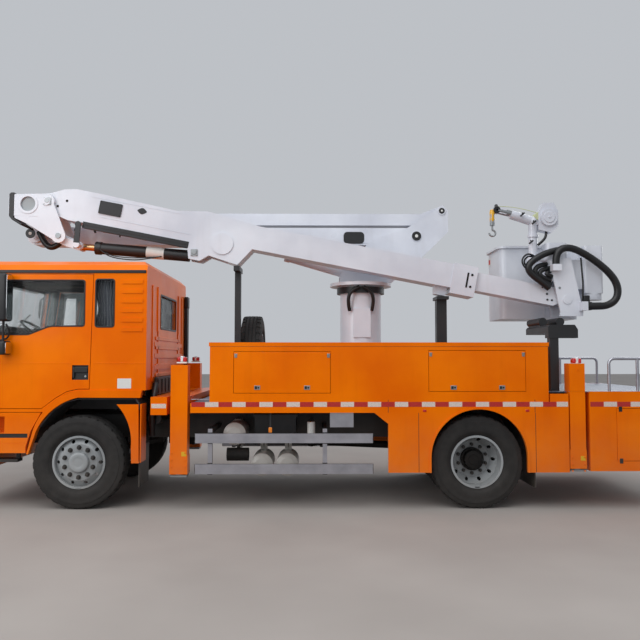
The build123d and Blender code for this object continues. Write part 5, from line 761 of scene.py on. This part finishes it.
def makeCabFront():
    # grille panel with slats, wipers, lamp glasses, corner indicators and blank plates
    front = cab["front"]
    grille = tapered((front + 2, 820, 1300), (front + 2, 760, 1800))
    makePiece("grille_panel", "truck", "blackPlastic", [(plateIn, grille, (-10, 0, 0), 60)], 3)
    slats = [(770 - number * 9, 1352 + number * 92) for number in range(5)]
    makePiece("grille_slats", "truck", "orange",
              [(plateIn, acrossTruck(front - 6, (-reach, reach), (z, z + 46)), (-14, 0, 0), 12)
               for reach, z in slats], 5)
    plate = tapered((front - 6, 240, 1830), (front - 6, 225, 1900))
    makePiece("blank_front_plate", "truck", "rimSilver", [(plateIn, plate, (-6, 0, 0), 14)], 2)
    wipers, glass, amber = [], [], []
    for y in (-620, 120):
        wipers += [(rodIn, (-1352, y, 1970), (-1372, y, 1972), 22, 16),
                   (rodIn, (-1366, y, 1972), (-1342, y + 330, 2180), 7, 8),
                   (rodIn, (-1352, y + 130, 2070), (-1322, y + 520, 2296), 8, 8)]
    makePiece("wipers", "truck", "blackPlastic", wipers)
    for side in sides.values():
        glass.append((plateIn, upright(side, (-1374, 832), (-1366, 1128), (642, 828)), (5, 0, 0), 24))
        amber.append((plateIn, upright(side, (-1362, 1075), (-1334, 1148), (840, 905)),
                      (-6, side * 3, 0), 14))
    makePiece("lamp_glasses", "truck", "lampGlass", glass)
    makePiece("front_indicators", "truck", "lensAmber", amber, 3)
    makePiece("blank_number_plate", "truck", "labelWhite",
              [(plateIn, acrossTruck(-1378, (-260, 260), (474, 556)), (6, 0, 0), 8)], 1)
    # round look-down mirror at the right front corner, which shows through both windows
    shell = [(-22, 0), (-22, 60), (-14, 108), (0, 126), (10, 126), (10, 118)]
    for name, finish, profile in (("shell", "blackPlastic", shell),
                                  ("glass", "mirrorGlass", [(3, 119), (9, 96), (14, 58), (16, 0)])):
        makePiece(f"front_mirror_{name}", "truck", finish,
                  [(spunIn, profile, frontMirror["centre"], frontMirror["axis"], 40)])
    tubeAlong("front_mirror_arm", "truck", 18,
              [(-1250, 1150, 2640), (-1290, 1150, 2600), (-1350, 1120, 2560), (-1370, 1085, 2500),
               (-1368, 1080, 2420)], "blackPlastic")
    # pressed ribs and frame on the cab's back
    ribs = [((-760, 760), (z, z + 46)) for z in (1300, 1470, 1580, 1690, 1800, 1910)]
    ribs += [((y - reach, y + reach), (1420, 2560))
             for y, reach in ((-900, 40), (900, 40), (-620, 22), (620, 22))]
    makePiece("back_ribs", "truck", "orange",
              [(plateIn, acrossTruck(cab["rear"], ySpan, zSpan), (11, 0, 0), 20)
               for ySpan, zSpan in ribs], 5)
    # black air intake duct behind the cab, on the right
    makePiece("air_intake", "truck", "blackPlastic",
              [(boxIn, (756, 1060, 1420), (806, 1180, 2500)),
               (boxIn, (754, 1050, 2420), (812, 1186, 2590)),
               (boxIn, (752, 1090, 1700), (780, 1150, 1740)),
               (boxIn, (752, 1090, 2300), (780, 1150, 2340))], 14)


# ---- seats: crowned cushions with sewn channels, in place of the plain ones
seat = {"middle": 620, "half": 246, "floor": 1382, "channel": 0.5, "channelWidth": 0.07,
        "channelDepth": 0.09, "fill": 0.8}


def padIn(bm, crown, pull):
    # a cushion lying flat round the origin, two units across each way
    part = bmesh.new()
    bmesh.ops.create_cube(part, size=2)
    bmesh.ops.subdivide_edges(part, edges=part.edges[:], cuts=13, use_grid_fill=True)
    for vert in part.verts:
        u, v, w = vert.co
        rim = max(abs(u), abs(v)) ** 6
        sewn = math.exp(-((abs(v) - seat["channel"]) / seat["channelWidth"]) ** 2)
        groove = seat["channelDepth"] * sewn * (1 - rim)
        swell = crown * (1 - u * u) * (1 - v * v)
        flat = abs(w) * (1 - groove + swell) * (1 - 0.35 * rim)
        vert.co = (u * (1 - pull * (1 - v * v) * abs(u) - 0.05 * w * w),
                   v * (1 - pull * (1 - u * u) * abs(v) - 0.05 * w * w),
                   math.copysign(flat, w) if w else 0)
    joinInto(bm, part)


def makeSeats():
    floor = seat["floor"]
    # centre's x and height over the floor, size, lean, crown, pull of the seams
    pads = {"seat_cushion": (-165, 268, (500, 2 * seat["half"], 104), -3, 0.22, 0.05),
            "seat_back": (178, 630, (640, 2 * seat["half"], 104), 9.5 - 90, 0.2, 0.05),
            "head_rest": (236, 1040, (170, 270, 72), 4 - 90, 0.3, 0.08)}
    for sideName, side in sides.items():
        y = side * seat["middle"]
        for name, (x, height, size, lean, crown, pull) in pads.items():
            bm = bmesh.new()
            padIn(bm, crown, pull)
            scale = Matrix.Diagonal((*(length / 2000 for length in size), 1))
            bmesh.ops.transform(bm, matrix=scale, verts=bm.verts)
            bmesh.ops.smooth_vert(bm, verts=bm.verts, factor=0.5, use_axis_x=True, use_axis_y=True,
                                  use_axis_z=True)
            turn = Matrix.Rotation(math.radians(lean), 4, "Y")
            place = Matrix.Translation(at(x, y, floor + height)) @ turn
            bmesh.ops.transform(bm, matrix=place, verts=bm.verts)
            piece = finishPiece(f"{name}_{sideName}", bm, "truck", "seatCloth",
                                replaces=["cab_seats"])
        makePiece(f"seat_base_{sideName}", "truck", "blackPlastic",
                  [(boxIn, (-20, y - 180, floor), (130, y + 180, floor + 210)),
                   (boxIn, (-330, y - 170, floor + 190), (120, y + 170, floor + 218)),
                   (boxIn, (212, y - 70, floor + 930), (226, y - 58, floor + 1000)),
                   (boxIn, (212, y + 58, floor + 930), (226, y + 70, floor + 1000))],
                  8, replaces=["cab_seats"])


makeCabWindows()
makeCurtains()
makeMirrors()
makeCabOutside()
makeCabFront()
makeSeats()
print("cab dressed")

# ---- body: hinges, latches, lamps, labels, guard rail caps, spare wheel and outrigger trim
# doors: side, first and last x, lowest and highest z, where the latches sit
locker = {"side": 1250, "hinge": (30, 64), "latchZ": 1364,
          "doors": {"left_front": (-1, 1748, 2835, 1305, 1766, (2012, 2573)),
                    "left_rear": (-1, 3950, 5044, 1323, 1779, (4228, 4777))}}
# legs: side, x, half width, top and foot of the casing
legs = {"front_left": (-1, 1135, 95, 1635, 424), "front_right": (1, 897, 95, 1635, 424),
        "rear_left": (-1, 5630, 87, 1619, 369), "rear_right": (1, 5412, 87, 1619, 369)}
beaconReach = 1170
# beacon: piece, finish, half length and half depth, from and to over the casing, bevel
beacon = [("base", "labelWhite", 58, 45, 0, 18, 4), ("lens", "lensRed", 52, 40, 18, 74, 12),
          ("middle", "lensClear", 18, 42, 16, 84, 10)]
spare = {"centre": (1842, 200, 1732), "narrower": 0.92}
spareDish = [(-122, 286), (-128, 280), (-124, 272), (-60, 258), (-44, 236), (-40, 150), (-52, 118),
             (-52, 92), (-30, 90), (-28, 250), (60, 258), (118, 274), (120, 286)]


def makeLockerFittings():
    face, latchZ = locker["side"], locker["latchZ"]
    wide, tall = locker["hinge"]
    for name, (side, left, right, low, high, latches) in locker["doors"].items():
        hinges, plates, keys = [], [], []
        for x in (left + 6, right - 6 - wide):
            hinges += [(sideBox, side, (x, x + wide), (face, face + 4), (high - tall, high - 20)),
                       (rodIn, (x - 3, side * 1252, high - 26), (x + wide + 3, side * 1252, high - 26),
                        4, 12)]
        for x in latches:
            plates.append((sideBox, side, around(x, 34), (face, face + 5), around(latchZ, 24)))
            keys += [(sideRod, side, x + 14, latchZ, (face, face + 10), 10, 16),
                     (sideBox, side, (x - 26, x - 2), (face + 3, face + 9), around(latchZ, 15))]
        body = f"locker_door_{name}"
        makePiece(f"locker_hinges_{name}", body, "zincSteel", hinges, 1)
        makePiece(f"latch_plates_{name}", body, "zincSteel", plates, 2)
        makePiece(f"latch_paddles_{name}", body, "blackPlastic", keys, 2)
    # the right door's latches and hinges, at shares of its length
    low, high = [corner * 1000 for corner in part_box("locker_door_right")]
    fittings = []
    for share, half, proud, zSpan in ((0.22, 34, 6, (low[2] + 34, low[2] + 82)),
                                      (0.04, 15, 4, (high[2] - 60, high[2] - 20))):
        for place in (share, 1 - share):
            x = low[0] + axleToMiddle + (high[0] - low[0]) * place
            fittings.append((sideBox, 1, around(x, half), (face, face + proud), zSpan))
    makePiece("locker_fittings_right", "locker_door_right", "zincSteel", fittings, 2)
    # toolbox door: two hinges and a key lock
    makePiece("toolbox_fittings", "toolbox_door", "blackPlastic",
              [(sideBox, -1, (6096, 6134), (1249, 1253), around(z, 28)) for z in (1120, 540)]
              + [(sideBox, -1, (6760, 6816), (1249, 1254), (812, 872))], 2)


def makeOutriggerTrim():
    for name, (side, x, half, top, foot) in legs.items():
        body = f"beam_{name}"
        reach = side * beaconReach
        for piece, finish, halfLength, halfDepth, low, high, bevel in beacon:
            makePiece(f"beacon_{piece}_{name}", body, finish,
                      [(boxIn, (x + 20 - halfLength, reach - halfDepth, top + low),
                        (x + 20 + halfLength, reach + halfDepth, top + high))], bevel)
        bolts = [(sideRod, side, x + dx, foot + dz, (1249, 1258), 10, 6)
                 for dx in (18 - half, half - 18) for dz in (62, 138, 214)]
        makePiece(f"casing_bolts_{name}", body, "orange",
                  bolts + [(sideRod, side, x + 8, top - 50, (1249, 1256), 14, 16)])
        makePiece(f"blank_label_{name}", body, "labelYellow",
                  [(sideBox, side, (x + half - 62, x + half - 8), (1250, 1251.5),
                    (foot + 176, foot + 226))], smooth=False)
        # white tape on the end of the cross housing beside the leg
        makePiece(f"housing_tape_{name}", "truck", "tapeWhite",
                  [(sideBox, side, (x - half - 225, x - half - 60), (1200, 1201.2), (1131, 1181))],
                  smooth=False)


def makeSideFittings():
    # caps and clamps on the guard rails, the dark joints between the body's panels, and a dark strip
    # under the lockers' top lip that is painted shadow
    railCaps, seamsAndLipShadow = [], [(sideBox, (1478, 5303), (1249.5, 1250.7), (1826, 1829))]
    for low, high in ((742, 848), (398, 508)):
        railCaps += [(sideBox, (x, x + 7), (1196, 1231), (low + 1, high - 1)) for x in (1310, 3313)]
        railCaps += [(sideBox, around(x, 28), (1180, 1202), (low - 12, high + 12))
                     for x in (1480, 2775)]
    for x, zSpan in ((3830, (416, 1080)), (5151, (416, 1080)), (3487, (1084, 1228)),
                     (5146, (1084, 1228))):
        seamsAndLipShadow.append((sideBox, around(x, 2.5), (1249.5, 1250.7), zSpan))
    makePair("rail_caps", "truck", "blackPlastic", railCaps, 3)
    # the strip along the lockers' top lip is painted shadow under the lip; the upright strips are real
    # joints
    makePair("panel_seams_and_lip_shadow", "truck", "hoseRubber", seamsAndLipShadow, slot="black_plastic", smooth=False)
    # marker lamp on a stalk under the band, small red reflectors, a blank plate, and light
    # alloy edging of the deck where it shows
    makePair("marker_stalk", "truck", "chassisBlack",
             [(sideBox, (2150, 2168), (1188, 1200), (850, 1082))], 2)
    makePair("marker_lamp", "truck", "lensAmber",
             [(sideBox, (2140, 2178), (1200, 1216), (858, 916))], 4)
    makePair("side_reflectors", "truck", "lensRed",
             [(sideBox, around(x, 20), (1250, 1255), (1092, 1116)) for x in (3897, 5060, 6640)], 3)
    makePair("blank_side_plate", "truck", "railAlloy",
             [(sideBox, (2832, 3100), (1190, 1194), (914, 1082))], 2)
    makePair("deck_edge", "truck", "railAlloy",
             [(sideBox, (1268, 1474), (1216, 1250), (1231, 1236)),
              (sideBox, (5540, 6938), (1216, 1250), (1318, 1323))], 1.5)
    makePiece("blank_rear_plate", "truck", "labelWhite",
              [(boxIn, (6948, -225, 600), (6953, 225, 740))], 1)
    # tape across the rear, left out behind the number plate
    stripes = {"White": [], "Red": []}
    for number in range(14):
        y = -1120 + number * 160
        if abs(y + 80) > 700:
            stripes["Red" if number % 2 else "White"].append((boxIn, (6949, y + 5, 1205),
                                                              (6951.5, y + 155, 1259)))
    for color in ("Red", "White"):
        makePiece(f"rear_tape_{color.lower()}", "truck", f"tape{color}", stripes[color], smooth=False)


def makeSpareWheel():
    profile = [(along * spare["narrower"], radius) for along, radius in tyreProfile]
    makePiece("spare_tread", "truck", "tyre", [(tyreIn, spare["centre"], (1, 0, 0), profile)],
              replaces=["spare_wheel"])
    makePiece("spare_rim", "truck", "rimSilver",
              [(spunIn, spareDish, spare["centre"], (1, 0, 0), 64)], replaces=["spare_wheel"])


def makeUnderside():
    shaft = [(rodIn, (1100, 0, 640), (2600, 0, 615), 46, 28),
             (rodIn, (2640, 0, 612), (4200, 0, 545), 46, 28)]
    for x, z in ((1090, 640), (2620, 613), (4215, 545)):
        shaft += [(ballIn, (x, 0, z), 68, 20), (rodIn, (x - 46, 0, z), (x + 46, 0, z), 62)]
    shaft += [(boxIn, (2590, -150, 575), (2650, 150, 660)),
              (boxIn, (2590, -420, 640), (2650, 420, 670))]
    makePiece("propeller_shaft", "truck", "castIron", shaft, 2)
    chambers = []
    for side in sides.values():
        for x, z, reach in ((4270, 600, side * 520), (-230, 560, side * 540)):
            chambers += [(rodIn, (x, reach, z), (x - 130, reach, z + 6), 78, 24),
                         (rodIn, (x - 62, reach, z), (x - 76, reach, z), 88, 24)]
    makePiece("brake_chambers", "truck", "chassisBlack", chambers, 4)
    for number, (y, z, size) in enumerate(((250, 760, 12), (275, 772, 12), (300, 760, 16),
                                           (-280, 758, 14))):
        tubeAlong(f"air_line_{number + 1}", "truck", size,
                  [(900, y, z), (1700, y + 8, z - 14), (2500, y - 8, z + 6), (3300, y + 6, z - 10),
                   (4150, y, z - 30), (4260, y * 1.7, z - 110)])
    # dark ducts and the air filter between cab and first outrigger
    makePiece("cooler_ducts", "truck", "blackPlastic",
              [(boxIn, (775, -900, 1262), (812, 880, 1470)),
               (rodIn, (790, -930, 1000), (790, -420, 1000), 84, 28)]
              + [(boxIn, (770, y, 1280), (822, y + 70, 1450)) for y in range(-860, 900, 200)], 8)
    tubeAlong("intake_hose", "truck", 74, [(790, -880, 1390), (800, -980, 1300), (782, -1010, 1130),
                                           (770, -960, 960), (760, -900, 800)])
    # orange back of the corner piece, over the upper part of the mud flap
    makePiece("corner_returns", "truck", "orange",
              [(sideBox, side, (690, 703), (955, 1199), (520, 1178)) for side in sides.values()], 3)


makeLockerFittings()
makeOutriggerTrim()
makeSideFittings()
makeSpareWheel()
makeUnderside()
print("body dressed")

# ---- boom: pins, covers, keeper plates, tray and the thin hoses under the cylinder
boom = {"pinX": -655, "pinZ": 3630, "slope": math.radians(10.9), "side": 530}
# pin heads: body, x, z, plate face, radius
pinHeads = [("turret", 4000, 3295, -70, 62), ("turret", 4335, 3630, -70, 40),
            ("elbow", -990, 3295, -210, 62), ("turret", 4000, 3295, 285, 62),
            ("elbow", -502, 3203, -574, 34)]
smallestBlackPin = 36
# square keeper plates: body, x, z, how far out they sit, size
keepers = [("elbow", -645, 3632, 574, 96), ("upper_boom", 1167, 3002, 530, 88),
           ("elbow", -302, 3098, 499, 78)]
hatch = {"middle": (1170, 113), "half": (65, 43),
         "corners": [(1, 0), (0.45, 0.7), (0, 1), (-0.45, 0.7), (-1, 0), (-0.45, -0.7), (0, -1),
                     (0.45, -0.7)]}
hoseRuns = {
    "elbow_hose_bundle": ("elbow", 76, [(-905, -150, 3330), (-850, -160, 3210), (-765, -165, 3120),
                                        (-690, -165, 3130), (-620, -160, 3190), (-560, -150, 3240)]),
    "cylinder_hose_1": ("luff_barrel", 15, [(-60, -440, 3090), (-20, -446, 3040), (112, -448, 2952),
                                            (369, -448, 2918), (539, -446, 2930), (744, -440, 2968)]),
    "cylinder_hose_2": ("luff_barrel", 13, [(-60, -420, 3096), (45, -430, 2990), (284, -436, 2950),
                                            (520, -436, 2948), (762, -430, 2968)]),
    "drop_hose_1": ("upper_boom", 40, [(-300, -400, 3400), (-345, -400, 3330), (-350, -400, 3290)]),
    "drop_hose_2": ("upper_boom", 26, [(-190, -400, 3380), (-120, -402, 3340), (-100, -402, 3270)]),
    "drop_hose_3": ("upper_boom", 18, [(205, -400, 3300), (212, -400, 3250), (206, -400, 3215)]),
    "pedestal_hose_1": ("truck", 46, [(3110, -262, 2300), (3080, -300, 2420), (3120, -330, 2560),
                                      (3230, -330, 2600)]),
    "pedestal_hose_2": ("truck", 46, [(3390, -262, 2300), (3420, -300, 2420), (3380, -330, 2560),
                                      (3280, -330, 2600)]),
}


def boomSpot(u, v):
    # u along the stowed boom from its pin and v square to it
    return (boom["pinX"] + u * math.cos(boom["slope"]) + v * math.sin(boom["slope"]),
            boom["pinZ"] - u * math.sin(boom["slope"]) + v * math.cos(boom["slope"]))


def discIn(bm, x, z, y, radius, thick, segments=20):
    rodIn(bm, (x, y, z), (x, y - thick, z), radius, segments)


def boomPlate(bm, uSpan, vSpan, thick, corner, reach=boom["side"]):
    outline = [boomSpot(*spot) for spot in rectangle(uSpan, vSpan)]
    sidePlate(bm, -1, outline, reach, thick, corner)


def makePins():
    for number, (body, x, z, y, radius) in enumerate(pinHeads):
        dark = radius > smallestBlackPin
        makePiece(f"pin_head_{number + 1}", body, "blackPlastic" if dark else "zincSteel",
                  [(discIn, x, z, y, radius, 14, 32)], 3, slot="black_plastic")
        if dark:
            makePiece(f"pin_grease_cap_{number + 1}", body, "labelWhite",
                      [(discIn, x, z, y - 13, radius * 0.34, 6, 24)], 2, slot="boom_paint")
    for number, (body, x, z, reach, size) in enumerate(keepers):
        half = size / 2
        bolts = [(discIn, x + dx, z - half + 16, -reach - 8, 9, 8, 6) for dx in (16 - half, half - 16)]
        square = rectangle(around(x, half), around(z, half))
        makePiece(f"keeper_plate_{number + 1}", body, "zincSteel",
                  [(sidePlate, -1, square, reach, 8, 14), (discIn, x, z + 8, -reach - 8, 30, 10, 32)]
                  + bolts, 2)


def makeBoomCovers():
    (u, v), (halfU, halfV) = hatch["middle"], hatch["half"]
    lid = [boomSpot(u + halfU * c, v + halfV * s) for c, s in hatch["corners"]]
    makePiece("boom_covers", "upper_boom", "blackPlastic",
              [(boomPlate, (640, 922), (-16, 146), 16, 12),
               (sidePlate, -1, lid, boom["side"], 4, 12)], 2)
    # bolts: u, v, face, radius, thickness, segments
    bolts = [(u, v, -544, 6, 6, 10) for v in (130, 0) for u in (655, 907)]
    bolts += [(230, 62, -528, 16, 5, 20), (130, -24, -528, 16, 5, 20), (5350, -40, -543, 15, 8, 20),
              (5350, 110, -543, 15, 8, 20)]
    makePiece("boom_bolts", "upper_boom", "castIron",
              [(discIn, *boomSpot(u, v), *disc) for u, v, *disc in bolts]
              + [(boomPlate, (5289, 5311), (-59, 131), 5, 6, 544)], 1)
    # black hose tray under the boom: its upright side and its bottom
    makePiece("hose_tray", "upper_boom", "blackPlastic",
              [(boomPlate, (480, 1818), (-196, -152), -8, 0, 536),
               (boomPlate, (480, 1818), (-232, -188), -62, 0, 534)], 3)
    makePiece("boom_weld_strips", "upper_boom", "boomWhite",
              [(boomPlate, (690, 1810), (-62.5, -57.5), 3, 0),
               (boomPlate, (520, 1640), (169.5, 174.5), 3, 0)], 1.5)
    # bolts at the inner boom's end, and a blank label round the cylinder
    makePiece("inner_boom_bolts", "boom_inner", "castIron",
              [(discIn, x, z, -499, 13, 8, 16) for x, z in ((5508, 2581), (5561, 2569), (5561, 2496),
                                                            (5565, 2424), (5621, 2417))], 2)
    makePiece("blank_barrel_label", "luff_barrel", "labelWhite",
              [(rodIn, (548, -380, 3027), (770, -380, 3008), 75.2, 40)])


def makeElbowTrim():
    # gusset between the elbow's head and knee, rounded arm to the cylinder's eye, black guard
    # round the elbow's end: piece, finish, how far out, how thick, corner, bevel, outline
    gusset = [(-1048, 3452), (-1048, 3425), (-890, 3352), (-560, 3148), (-500, 3150), (-520, 3250),
              (-660, 3452)]
    arm = [(-560, 3235), (-275, 3140), (-235, 3020), (-520, 3115)]
    guard = [(-1052, 3742), (-1092, 3742), (-1114, 3722), (-1114, 3448), (-1076, 3402), (-960, 3330),
             (-948, 3350), (-1052, 3420)]
    for name, finish, reach, thick, corner, bevel, outline in (
            ("elbow_gusset", "boomWhite", 552, 21, 10, 3, gusset),
            ("elbow_arm_plate", "boomWhite", 478, 22, 58, 3, arm),
            ("elbow_guard", "blackPlastic", 580, -372, 6, 6, guard)):
        makePiece(name, "elbow", finish,
                  [(sidePlate, -1, outline, reach, thick, corner)], bevel)
    makePiece("pipe_lid", "elbow", "rimSilver", [(discIn, -881, 3600, -552, 94, 4, 48)])


makePins()
# black plate in the lower arm's window: painted shade standing for the dark inside of the opening
makePiece("arm_window_shade", "lower_arm", "blackPlastic",
          [(sidePlate, -1, rectangle((3044, 3316), (3200, 3356)), 33, 5, 50)])
makeBoomCovers()
makeElbowTrim()
for name, run in hoseRuns.items():
    tubeAlong(name, *run)
print("boom dressed")

# ---- platform and jib: hoses, covers, handles, winch trim, labels
loop = [(5640, 2850), (5640, 2965), (5715, 3055), (5840, 3060), (5995, 2985), (6150, 2880),
        (6285, 2765), (6380, 2640), (6408, 2510), (6368, 2400), (6262, 2341), (6135, 2334),
        (6010, 2334)]
platformRuns = {
    "bundle_hose": (84, [(5700, -560, 3040), (5560, -575, 3010), (5400, -580, 2930),
                         (5300, -585, 2840), (5320, -580, 2760), (5400, -575, 2690),
                         (5500, -570, 2620), (5570, -565, 2560)]),
    "thin_loop_1": (22, [(5440, -470, 2960), (5330, -560, 3010), (5225, -585, 2930),
                         (5240, -585, 2830), (5310, -580, 2780)]),
    "thin_loop_2": (22, [(5450, -450, 2940), (5350, -540, 2980), (5260, -570, 2920),
                         (5265, -570, 2850), (5320, -570, 2800)]),
    "drive_cable": (22, [(5965, -575, 2940), (5972, -590, 2760), (5985, -590, 2560),
                         (5975, -575, 2400)]),
    "bundle_hose_2": (64, [(5560, -500, 2870), (5450, -545, 2850), (5390, -550, 2780),
                           (5430, -550, 2700), (5520, -548, 2640), (5600, -545, 2600)]),
    "bundle_hose_3": (56, [(5600, -500, 2820), (5500, -540, 2800), (5450, -548, 2750),
                           (5500, -548, 2690), (5600, -540, 2660)]),
    "valve_hose": (50, [(5620, -500, 2780), (5560, -530, 2770), (5540, -540, 2730),
                        (5620, -540, 2710)]),
}


def makePlatformTrim():
    tubeAlong("hose_loop_line", "platform", 92, onSide(-1, 614, loop), replaces=["hose_loop"])
    for name, run in platformRuns.items():
        tubeAlong(name, "platform", *run)
    makePiece("hose_fittings", "platform", "blackPlastic",
              [(boxIn, (5975, -640, 2285), (6075, -560, 2385)),
               (boxIn, (5990, -600, 2380), (6060, -540, 2470)),
               (boxIn, (5640, -655, 2810), (5700, -560, 2840))], 8)
    makePiece("cover_bolts", "platform", "zincSteel",
              [(discIn, 5672, 2968, -560, 15, 7), (discIn, 5700, 2566, -560, 15, 7),
               (discIn, 5664, 2826, -560, 12, 7)], 1.5)
    makePiece("blank_bucket_label", "bucket", "labelWhite",
              [(plateIn, acrossTruck(5104, (425, 540), (2965, 3080)), (-2, 0, 0))], smooth=False)
    makePiece("bucket_label_red_field", "bucket", "labelRed",
              [(plateIn, acrossTruck(5102, (446, 522), (2992, 3056)), (-1.5, 0, 0))], smooth=False)
    makePiece("bucket_seam", "bucket", "glassFibre",
              [(boxIn, (5668, -54, 2230), (5690, -49, 3120))], 2)


def makeJibTrim():
    # clamp handles: black T bars on threaded stems
    handles = []
    for x, z, lean in ((5275, 3500, 0.2), (5420, 3400, 0.5), (5380, 3150, 0.5)):
        handles += [(rodIn, (x, -430, z), (x, -486, z), 9, 12),
                    (rodIn, (x - 26, -486, z - 22), (x + 26, -486, z + 22), 11, 12),
                    (rodIn, (x - 22 * lean, -486, z + 24), (x + 8, -486, z - 2), 9, 12)]
    hookProfile = [(128, 10), (128, 26), (90, 33), (40, 30), (0, 33), (-40, 24), (-60, 9)]
    for name, finish, bevel, shapes in (
            ("clamp_handles", "blackPlastic", 2, handles),
            ("tip_pulley", "blackPlastic", 4,
             [(rodIn, (4975, -420, 3575), (4975, -340, 3575), 44, 28),
              (rodIn, (4960, -420, 3625), (5010, -340, 3612), 22, 16)]),
            ("tip_sleeve", "zincSteel", 3, [(rodIn, (4990, -380, 3570), (5190, -380, 3520), 41, 24)]),
            ("winch_cover", "boomWhite", 4, [(discIn, 5613, 3467, -489, 70, 10, 40),
                                             (discIn, 5613, 3467, -498, 16, 8, 16)]),
            ("rope_drum", "paleRope", 3, [(rodIn, (5500, y, 3490), (5500, y + 11, 3490), 52, 32)
                                          for y in range(-440, -316, 12)]),
            ("hook_cover", "yellowPaint", 2,
             [(spunIn, hookProfile, (4920, -380, 3452), (0, 0, 1), 28)])):
        makePiece(name, "jib", finish, shapes, bevel)
    tubeAlong("jib_rope", "jib", 9, onSide(-1, 380, [(5500, 3542), (5300, 3598), (5120, 3622),
                                                     (4985, 3624), (4926, 3590), (4920, 3540)]),
              "paleRope")
    tubeAlong("jib_hose", "jib", 34,
              [(5600, -400, 3330), (5590, -440, 3240), (5540, -450, 3170), (5480, -430, 3120)])


makePlatformTrim()
makeJibTrim()
print("platform and jib dressed")


# ---- studio: pale floor, soft light, and the camera where the photographer stood
studio = {"floorHalf": 60, "sky": "E4E8EE", "strength": 0.66}
# lamps: where they hang, what they point at, size in metres, power in watts
lights = {
    "sky_panel": ((-2.0, -6.0, 11.0), (0, 0, 1.2), 12.0, 850),
    "front_fill": ((-8.0, -8.0, 5.0), (-1, 0, 1.5), 6.0, 260),
    "rear_rim": ((8.0, 7.0, 7.0), (0, 0, 2.0), 6.0, 300),
}
# the photographer's lens and film width in millimetres, spot in metres, tilt and turn in degrees
photographer = {"lens": 38.8, "film": 36, "spot": (-0.151, -9.05, 1.709), "tilt": 3.07, "turn": -0.66}


def placeInScene(name, data):
    holder = bpy.data.objects.new(name, data)
    bpy.context.scene.collection.objects.link(holder)
    return holder


def makeStudio():
    bpy.context.scene.view_settings.view_transform = "Standard"  # paint keeps its own colour
    mesh = bpy.data.meshes.new("studio_floor")
    bm = bmesh.new()
    bmesh.ops.create_grid(bm, x_segments=2, y_segments=2, size=studio["floorHalf"])
    bm.to_mesh(mesh)
    bm.free()
    floor = placeInScene("studio_floor", mesh)
    concrete, tree, shader, place = startMaterial("grey studio floor", 0.85)
    tree.links.new(mottle(tree, place, 0.6, 3, ("9A948F", "A6A09B")), shader.inputs["Base Color"])
    mesh.materials.append(concrete)
    world = bpy.data.worlds.new("studio")
    world.use_nodes = True
    sky = world.node_tree.nodes["Background"].inputs
    sky["Color"].default_value = hexColor(studio["sky"])
    sky["Strength"].default_value = studio["strength"]
    bpy.context.scene.world = world
    for name, (spot, target, size, power) in lights.items():
        lamp = bpy.data.lights.new(name, "AREA")
        lamp.size = size
        lamp.energy = power
        holder = placeInScene(name, lamp)
        holder.location = spot
        holder.rotation_euler = (Vector(target) - Vector(spot)).to_track_quat("-Z", "Y").to_euler()


def makeCamera():
    camera = bpy.data.cameras.new("photo_camera")
    camera.lens = photographer["lens"]
    camera.sensor_width = photographer["film"]
    holder = placeInScene("photo_camera", camera)
    holder.location = photographer["spot"]
    holder.rotation_euler = (math.radians(90 + photographer["tilt"]), 0,
                             math.radians(photographer["turn"]))
    bpy.context.scene.camera = holder


makeStudio()
makeCamera()
